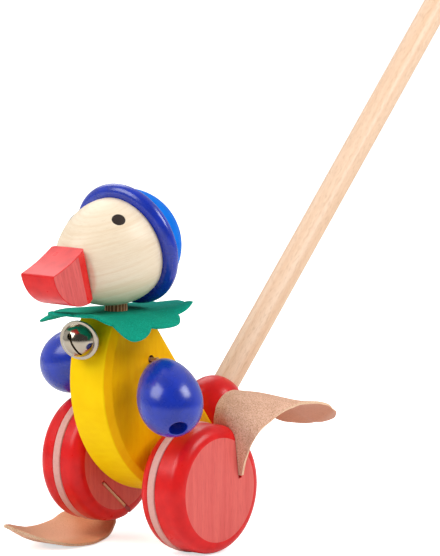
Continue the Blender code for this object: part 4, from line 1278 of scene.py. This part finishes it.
# Lowered foot of the right wheel, bent forward under it along the floor
RIGHT_FOOT = FootShape(
    slot_length=0.0340, slot_angle=-39.6, mouth_angle=-68.5,
    route=((0.0010, -0.0033), (-0.0030, -0.0068), (-0.0116, -0.0099), (-0.0252, -0.01055),
           (-0.0382, -0.0105), (-0.0526, -0.0094), (-0.0676, -0.0052), (-0.0836, 0.0032), (-0.0896, 0.0070)),
    outer=((0.000, 0.0167), (0.012, 0.0212), (0.021, 0.0242), (0.028, 0.0262), (0.042, 0.0282),
           (0.052, 0.0290), (0.064, 0.0290), (0.075, 0.0276), (0.086, 0.0248), (0.097, 0.0210),
           (0.110, 0.0154), (0.120, 0.0112), (0.126, 0.0088)),
    inner=((0.038, 0.0012), (0.043, -0.0009), (0.052, -0.0049), (0.066, -0.0109), (0.079, -0.0144),
           (0.093, -0.0134), (0.102, -0.0102), (0.110, -0.0050), (0.118, 0.0010), (0.126, 0.0080)),
    outer_sag=((0.038, 0.0), (0.045, -0.0055), (0.051, -0.0090), (0.061, -0.0064), (0.073, -0.0054),
               (0.086, -0.0058), (0.097, -0.0066), (0.110, -0.0056), (0.120, -0.0026), (0.126, 0.0)),
    inner_sag=((0.034, 0.0), (0.126, 0.0)))


@dataclass
class Wheelset(SubAssembly):
    """Off-centre wheels with rubber bands and leather feet, on one axle."""

    tyre_radius: float = 0.0361
    tyre_width: float = 0.0050
    tyre_proud: float = 0.0004
    groove_depth: float = 0.0016
    tyre_inboard: tuple[float, float] = (0.0046, -0.0004)
    width: float = 0.0295
    rim_rounding: float = 0.0069
    groove_ease: float = 0.0003
    off_centre: float = 0.0051
    middle: float = 0.03685
    leather: float = 0.0018
    tongue: float = 0.023
    slot_spare: float = 0.0018
    notch_wall: float = 0.0014
    mouth_clear: float = 0.0010
    inner_from: float = 0.034
    fold: Table = ((0.020, 0.0148), (0.0285, 0.0087), (0.036, 0.0032), (0.055, 0.0032), (0.085, 0.0062))
    spine: float = 0.0062
    spine_reach: float = 0.020
    sag_run: Point = (0.66, -0.75)
    rise_run: Point = (0.25, -0.95)
    sag_power: float = 1.5
    row_spacing: float = 0.0012
    cut_share: float = 0.8
    axle_radius: float = 0.004
    axle_in_wheel: float = 0.018

    @property
    def axle(self) -> Vector:
        """Middle of the axle in the row frame."""
        return self.at(0.0, 0.0, self.axle_height)

    def inboard(self, side: Side) -> float:
        """How far a band lies inboard of its wheel's middle."""
        return self.tyre_inboard[0 if side is Side.LEFT else 1]

    @staticmethod
    def shape(side: Side) -> FootShape:
        """Form of the foot on a side."""
        return LEFT_FOOT if side is Side.LEFT else RIGHT_FOOT

    def slot_ends(self, side: Side) -> tuple[Vector, Vector]:
        """Gives the inner end and the mouth of a foot's slot.

        Args:
            side: Side of the foot.

        Returns:
            Both points from the axle, as (back, up).
        """
        shape = self.shape(side)
        mouth_turn = math.radians(shape.mouth_angle)
        slot_turn = math.radians(shape.slot_angle)
        centre = Vector((0.0, -side.value * self.off_centre))
        away = Vector((math.cos(mouth_turn), math.sin(mouth_turn)))
        mouth = centre + away * (self.tyre_radius + self.mouth_clear)
        start = mouth - Vector((math.cos(slot_turn), math.sin(slot_turn))) * shape.slot_length
        return start, mouth

    def build(self, frame: dict) -> None:
        """Makes both wheels with their bands and feet, and dresses the axle.

        Args:
            frame: The loaded frame.
        """
        for node in ("axle", "axle_spacer_left", "axle_spacer_right"):
            dress(frame, node, BEECH)
        for side in Side:
            self.build_wheel(side)
            self.build_foot(side)

    def build_wheel(self, side: Side) -> None:
        """Makes a wheel with coral faces, partly stain and partly painted reflection, its groove and slot,
        and its rubber band.

        Args:
            side: Side of the wheel.
        """
        half = self.width / 2
        rim = self.tyre_radius - self.tyre_proud
        flat = rim - self.rim_rounding
        floor = rim - self.groove_depth
        groove = -self.inboard(side)
        reach = self.tyre_width / 2 + SEAT_GAP
        ease = self.groove_ease
        profile = [(0.0, -half), (flat - ease, -half),
                   *arc((flat, self.rim_rounding - half), self.rim_rounding, -90, 0, 16),
                   (rim, groove - reach - ease), (rim - ease, groove - reach), (floor, groove - reach),
                   (floor, groove + reach), (rim - ease, groove + reach), (rim, groove + reach + ease),
                   *arc((flat, half - self.rim_rounding), self.rim_rounding, 0, 90, 16),
                   (flat - ease, half), (0.0, half)]
        place = towards(Vector((side.value, 0.0, 0.0)),
                        self.axle + Vector((side.value * self.middle, 0.0, -side.value * self.off_centre)))
        node = f"wheel_{side.label}"
        wheel = show(node, lathe(profile, 144), [RED, CORAL_STAIN_AND_REFLECTION_WHEEL], Body.WHEELSET, place)
        start, mouth = self.slot_ends(side)
        run = (mouth - start).normalized()
        depth = (mouth - start).length + self.slot_spare + self.rim_rounding
        slot = block(Vector((self.width * OVERCUT, self.leather + 2 * SEAT_GAP, depth)))
        spot = start + run * (depth / 2 - self.slot_spare)
        spot = self.axle + Vector((side.value * self.middle, spot.x, spot.y))
        carve(wheel, slot, Matrix.Translation(spot) @ Matrix.Rotation(math.atan2(-run.x, run.y), 4, "X"))
        seat = peg(self.axle_radius + SEAT_GAP, 0.0, self.middle - half + self.axle_in_wheel + SEAT_GAP)
        carve(wheel, seat, towards(Vector((side.value, 0.0, 0.0)), self.axle))
        # Flat faces take the coral stain with painted reflection
        recolour(wheel, 1, lambda middle, normal: abs(normal.z) > 0.999 and middle.xy.length < flat)
        inner = floor + SEAT_GAP / 2
        corner = self.tyre_width / 6
        low, high = groove - self.tyre_width / 2, groove + self.tyre_width / 2
        band = [(inner, low), *arc((self.tyre_radius - corner, low + corner), corner, -90, 0, 6),
                *arc((self.tyre_radius - corner, high - corner), corner, 0, 90, 6), (inner, high)]
        show(f"tyre_{side.label}", lathe(band, 144, ring=True), [RUBBER], Body.WHEELSET, place)

    def build_foot(self, side: Side) -> None:
        """Makes a leather foot: a tongue in the slot, notched for the band, that fans out past the rim.

        Args:
            side: Side of the foot.
        """
        shape = self.shape(side)
        start, mouth = self.slot_ends(side)
        straight = shape.slot_length
        bend = [mouth, *(mouth + Vector(step) for step in shape.route)]
        notch = self.tyre_width / 2 - self.inboard(side) + SEAT_GAP + self.notch_wall
        inner_table = ((self.inner_from, notch), *shape.inner)
        end = shape.outer[-1][0]
        stations = [self.tongue * i / 16 for i in range(17)] + [self.tongue + 2 * SEAT_GAP]
        count = round((end - straight) / self.row_spacing)
        stations += [straight + (end - straight) * i / count for i in range(count + 1)]
        grid = []
        for station in stations:
            if station < straight:
                centre = start.lerp(mouth, station / straight)
            else:
                centre = route_point(bend, station - straight)
            low = SEAT_GAP - self.width / 2 if station <= self.tongue else between(inner_table, station)
            high = between(shape.outer, station)
            fold = max(between(self.fold, station), low + (high - low) / 4)
            columns = [low + (fold - low) * j / 14 for j in range(14)]
            columns += [fold + (high - fold) * j / 20 for j in range(21)]
            outer_sag = between(shape.outer_sag, station)
            inner_sag = between(shape.inner_sag, station)
            run = Vector(self.sag_run if outer_sag > 0 else self.rise_run)
            row = []
            for x in columns:
                spot = centre + run * (outer_sag * max(0.0, (x - fold) / (high - fold)) ** self.sag_power)
                drop = inner_sag * max(0.0, (self.spine - x) / self.spine_reach) ** self.sag_power
                row.append(Vector((side.value * (self.middle + x), spot.x, spot.y - drop)))
            grid.append(row)
        node = f"foot_{side.label}"
        faces = [self.offset(grid, sign * side.value) for sign in (1, -1)]
        mesh = grid_shell(faces[0], faces[1], closed=False)
        foot = show(node, mesh, [SUEDE, shape.grain, CUT_LEATHER], Body.WHEELSET,
                    Matrix.Translation(self.axle))

    def offset(self, grid: Grid, sign: int) -> Grid:
        """Moves a sheet's middle grid half its thickness to one side.

        Args:
            grid: Rows of points on the sheet's middle.
            sign: Which side.

        Returns:
            Rows of points on that face, drawn in at the cut edge.
        """
        last_row, last_column = len(grid) - 1, len(grid[0]) - 1
        face = []
        for i, row in enumerate(grid):
            moved = []
            for j, point in enumerate(row):
                along = grid[min(i + 1, last_row)][j] - grid[max(i - 1, 0)][j]
                across = row[min(j + 1, last_column)] - row[max(j - 1, 0)]
                normal = across.cross(along).normalized()
                edge = self.cut_share if j in (0, last_column) or i == last_row else 1.0
                moved.append(point + normal * (sign * self.leather / 2 * edge))
            face.append(moved)
        return face


@dataclass
class Wings(SubAssembly):
    """Egg beads on the two ends of one cord, each stopped by a knot in its wide mouth."""

    board: BodyBoard | None = None
    length: float = 0.048
    radius: float = 0.0176
    taper: float = 0.16
    bore: float = 0.0015
    mouth: float = 0.005
    mouth_depth: float = 0.013
    mouth_rounding: float = 0.0007
    cord_diameter: float = 0.0022
    cord_break: float = 0.0008
    strand_pitch: float = 0.009
    strand_share: float = 0.27
    knot_size: float = 0.00072
    knot_share: float = 0.45
    knot_clear: float = 1.4
    cord_lead: float = 1.5
    left_centre: tuple[float, float, float] = (0.0450, -0.0351, 0.0915)
    left_direction: tuple[float, float, float] = (0.641, -0.395, -0.658)
    right_centre: tuple[float, float, float] = (-0.0420, -0.0103, 0.1020)
    right_direction: tuple[float, float, float] = (-0.88, -0.20, -0.43)

    def build(self) -> None:
        """Makes the cord's middle and both beads with their cord and knot."""
        half = self.board.thickness / 2 - self.cord_break
        y, z = self.board.hole_back, self.board.hole_height
        middle = [self.at(-half + 2 * half * i / 40, y, z) for i in range(41)]
        self.twist("wing_cord_middle", middle, Body.DUCK)
        for side in Side:
            self.build_wing(side)

    def twist(self, node: str, path: list[Vector], body: Body) -> bpy.types.Object:
        """Makes a stretch of cord of three strands twisted round its middle line.

        Args:
            node: CAD node of the stretch.
            path: Close points on its middle line.
            body: Body that it moves with.

        Returns:
            The stretch's object.
        """
        strand = self.cord_diameter * self.strand_share
        throw = self.cord_diameter / 2 - strand
        pairs = carried(path)
        shape = bmesh.new()
        for k in range(3):
            points = []
            travelled = 0.0
            for i, (point, (across, other)) in enumerate(zip(path, pairs)):
                travelled += (point - path[i - 1]).length if i else 0.0
                angle = 2 * math.pi * (travelled / self.strand_pitch + k / 3)
                points.append(point + (across * math.cos(angle) + other * math.sin(angle)) * throw)
            shape.from_mesh(tube(points, strand, 8))
        return show(node, smooth_mesh(shape), [COTTON], body, Matrix.Identity(4))

    def knot_mesh(self) -> bpy.types.Mesh:
        """Gives a trefoil knot of the cord about the origin."""
        loop = []
        for i in range(72):
            t = 2 * math.pi * i / 72
            loop.append(Vector((math.sin(t) + 2 * math.sin(2 * t), math.cos(t) - 2 * math.cos(2 * t),
                                -math.sin(3 * t))) * self.knot_size)
        return tube(loop, self.cord_diameter * self.knot_share, 12, closed=True)

    def build_wing(self, side: Side) -> None:
        """Makes one bead, its knot and its stretch of cord.

        Args:
            side: Side of the wing.
        """
        left = side is Side.LEFT
        body = Body.WING_LEFT if left else Body.WING_RIGHT
        centre = Vector(self.left_centre if left else self.right_centre)
        direction = Vector(self.left_direction if left else self.right_direction).normalized()
        half = self.length / 2
        lip = self.mouth_rounding
        wide = self.mouth + lip
        narrow = self.bore + lip
        top = -half * math.sqrt(1 - (narrow / self.radius / (1 - self.taper)) ** 2)
        bottom = half * math.sqrt(1 - (wide / self.radius / (1 + self.taper)) ** 2)
        steps = 60
        first, last = math.acos(-top / half), math.pi - math.acos(bottom / half)
        skin = []
        for i in range(steps + 1):
            h = -half * math.cos(first + (last - first) * i / steps)
            skin.append((egg_radius(h, self.radius, half, self.taper), h))
        floor = half * math.sqrt(1 - (self.mouth / self.radius / (1 + self.taper)) ** 2) - self.mouth_depth
        profile = [(self.bore, top + lip), (self.bore + lip * 0.3, top + lip * 0.3), *skin,
                   (self.mouth + lip * 0.3, bottom - lip * 0.2), (self.mouth, bottom - lip),
                   (self.mouth, floor), (self.bore, floor)]
        node = f"wing_{side.label}"
        show(node, lathe(profile, 96, ring=True), [BLUE], body,
             towards(direction, self.floor + centre))

        low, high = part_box(f"wing_knot_{side.label}")
        knot_place = (low + high) / 2
        knot = show(f"wing_knot_{side.label}", self.knot_mesh(), [COTTON], body,
                    towards(direction, knot_place))
        hinge = Vector((side.value * self.board.thickness / 2, self.board.hole_back, self.board.hole_height))
        bore_top = -half * math.sqrt(1 - (self.bore / self.radius / (1 - self.taper)) ** 2)
        enter = centre + direction * (bore_top - self.cord_diameter)
        leave = knot_place - self.floor - direction * (self.cord_diameter * self.knot_clear)
        stub = hinge + Vector((side.value * self.cord_break, 0.0, 0.0))
        out = hinge + Vector((side.value * self.cord_diameter * self.cord_lead, 0.0, 0.0))
        bends = [stub, out, enter - direction * self.cord_diameter / 2, enter]
        path = [hinge]
        for i in range(25):
            share = i / 24
            rest = 1 - share
            path.append(rest ** 3 * bends[0] + 3 * rest ** 2 * share * bends[1]
                        + 3 * rest * share ** 2 * bends[2] + share ** 3 * bends[3])
        path += [enter.lerp(leave, i / 30) for i in range(1, 31)]
        route = [self.floor + point for point in path]
        cord = self.twist(f"wing_cord_{side.label}", route, body)


@dataclass(frozen=True)
class Softbox:
    """A square soft lamp that faces the duck.

    Attributes:
        name: Name of the lamp.
        azimuth: Where it stands, in degrees, as the camera's azimuth is counted.
        elevation: How high it stands, in degrees.
        distance: How far off it stands.
        size: Side of its face.
        watts: Its power.
    """

    name: str
    azimuth: float
    elevation: float
    distance: float
    size: float
    watts: float


SOFTBOXES = (
    Softbox("left_softbox", azimuth=-25.0, elevation=38.0, distance=1.5, size=0.9, watts=14.5),
    Softbox("right_softbox", azimuth=112.0, elevation=40.0, distance=1.3, size=0.6, watts=10.5),
    Softbox("back_softbox", azimuth=-120.0, elevation=44.0, distance=1.4, size=0.8, watts=4.5))


@dataclass
class Studio(SubAssembly):
    """White floor, soft lamps and the camera of the photograph."""

    azimuth: float = 41.4
    elevation: float = 10.0
    distance: float = 3.0
    pixels_per_metre: float = 1800.0
    picture: tuple[int, int] = (440, 556)
    origin_pixel: tuple[float, float] = (148.95, 544.39)
    sensor_mm: float = 36.0
    view_end: float = 50.0
    lamp_aim: float = 0.12
    floor_size: float = 14.0
    focal_pixels: float = 5403.0
    world_light: float = 0.30
    room_light: float = 0.08
    room_turn: tuple[float, float] = (-0.3, 0.5)
    backdrop_mirror: float = 0.60
    floor_lift: float = 0.66
    floor_lift_far: float = 1.0
    floor_lift_reach: tuple[float, float] = (0.25, 1.2)

    def direction(self, azimuth: float, elevation: float) -> Vector:
        """Direction from the duck to a viewer or lamp at an azimuth and elevation in degrees."""
        turn, rise = math.radians(azimuth), math.radians(elevation)
        return Vector((math.sin(turn) * math.cos(rise), -math.cos(turn) * math.cos(rise), math.sin(rise)))

    def build(self) -> None:
        """Makes the camera, the lamps, the floor and the world."""
        scene = bpy.context.scene
        scene.view_settings.view_transform = "Standard"
        self.build_camera(scene)
        for softbox in SOFTBOXES:
            self.build_lamp(softbox)
        self.build_floor()
        self.build_world(scene)

    def build_camera(self, scene: bpy.types.Scene) -> None:
        """Makes the camera that sees the duck as the photograph does.

        Args:
            scene: Scene that takes the camera.
        """
        back = self.direction(self.azimuth, self.elevation)
        turn = math.radians(self.azimuth)
        right = Vector((math.cos(turn), math.sin(turn), 0.0))
        up = back.cross(right)
        wide, high = self.picture
        aim = (self.floor + right * ((wide / 2 - self.origin_pixel[0]) / self.pixels_per_metre)
               + up * ((self.origin_pixel[1] - high / 2) / self.pixels_per_metre))
        eye = self.floor + back * self.distance
        data = bpy.data.cameras.new("photo_camera")
        data.sensor_width = self.sensor_mm
        data.lens = self.focal_pixels * self.sensor_mm / high
        data.clip_end = self.view_end
        camera = bpy.data.objects.new("photo_camera", data)
        scene.collection.objects.link(camera)
        camera.matrix_world = towards(eye - aim, eye)
        scene.camera = camera

    def build_lamp(self, softbox: Softbox) -> None:
        """Makes one square area lamp that faces the duck's body."""
        data = bpy.data.lights.new(softbox.name, "AREA")
        data.shape = "SQUARE"
        data.size = softbox.size
        data.energy = softbox.watts
        lamp = bpy.data.objects.new(softbox.name, data)
        bpy.context.scene.collection.objects.link(lamp)
        away = self.direction(softbox.azimuth, softbox.elevation)
        lamp.matrix_world = towards(away, self.at(0.0, 0.0, self.lamp_aim) + away * softbox.distance)

    def build_floor(self) -> None:
        """Makes the pale floor that keeps the duck's shadow."""
        half = self.floor_size / 2
        shape = bmesh.new()
        corners = [(-half, -half, 0.0), (half, -half, 0.0), (half, half, 0.0), (-half, half, 0.0)]
        shape.faces.new([shape.verts.new(corner) for corner in corners])
        mesh = smooth_mesh(shape)
        floor = bpy.data.objects.new("studio_floor", mesh)
        bpy.context.scene.collection.objects.link(floor)
        material = bpy.data.materials.new("white_paper")
        material.use_nodes = True
        tree = material.node_tree
        shader = tree.nodes["Principled BSDF"]
        shader.inputs["Base Color"].default_value = linear("#FAFAFA")
        shader.inputs["Roughness"].default_value = 0.9
        shader.inputs["Specular IOR Level"].default_value = 0.0
        shader.inputs["Emission Color"].default_value = linear("#FFFFFF")
        seen = add_node(tree, "ShaderNodeLightPath").outputs["Is Camera Ray"]
        place = add_node(tree, "ShaderNodeTexCoord").outputs["Object"]
        reach = add_node(tree, "ShaderNodeVectorMath", {0: place}, operation="LENGTH").outputs["Value"]
        start, stop = self.floor_lift_reach
        lift = Finish.spread(tree, reach, start, stop, self.floor_lift, self.floor_lift_far)
        shown = add_node(tree, "ShaderNodeMath", {0: seen, 1: lift}, operation="MULTIPLY").outputs[0]
        tree.links.new(shown, shader.inputs["Emission Strength"])
        mesh.materials.append(material)

    def build_world(self, scene: bpy.types.Scene) -> None:
        """Makes a white backdrop for the camera, a dim room in reflections and a soft fill light.

        Args:
            scene: Scene that takes the world.
        """
        world = bpy.data.worlds.new("studio_world")
        world.use_nodes = True
        tree = world.node_tree
        rays = add_node(tree, "ShaderNodeLightPath").outputs
        outwards = add_node(tree, "ShaderNodeTexCoord").outputs["Generated"]
        front = self.direction(self.azimuth, 0.0)
        facing = add_node(tree, "ShaderNodeVectorMath", {0: outwards, 1: front}, operation="DOT_PRODUCT")
        behind, before = self.room_turn
        mirrored = Finish.spread(tree, facing.outputs["Value"], behind, before, self.backdrop_mirror,
                                 self.room_light)
        unseen = Finish.spread(tree, rays["Is Glossy Ray"], 0.0, 1.0, self.world_light, mirrored)
        seen = add_node(tree, "ShaderNodeMath", {0: rays["Is Camera Ray"], 1: rays["Is Transmission Ray"]},
                        operation="MAXIMUM").outputs[0]
        strength = Finish.spread(tree, seen, 0.0, 1.0, unseen, 1.0)
        background = tree.nodes["Background"]
        background.inputs["Color"].default_value = linear("#FFFFFF")
        tree.links.new(strength, background.inputs["Strength"])
        scene.world = world


def main() -> None:
    """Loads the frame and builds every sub-assembly in order."""
    logging.basicConfig(level=logging.INFO, format="%(name)s %(message)s")
    for old in list(bpy.data.objects):
        bpy.data.objects.remove(old, do_unlink=True)
    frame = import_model()
    joints = {joint["name"]: joint for joint in frame["joints"]}
    axle = Vector(joints["wheelset_spin"]["pos_m"])
    layout = {"floor": Vector((0.0, axle.y, 0.0)), "axle_height": axle.z}
    Studio(**layout).build()
    board = BodyBoard(**layout)
    board.build()
    Stick(**layout, board=board).build()
    Neck(**layout, board=board).build()
    Head(**layout).build()
    Bell(**layout, board=board).build(frame)
    Wheelset(**layout).build(frame)
    Wings(**layout, board=board).build()
    for node in ("beak_dowel", "cap_dowel"):
        dress(frame, node, BEECH)


if __name__ == "__main__":
    main()
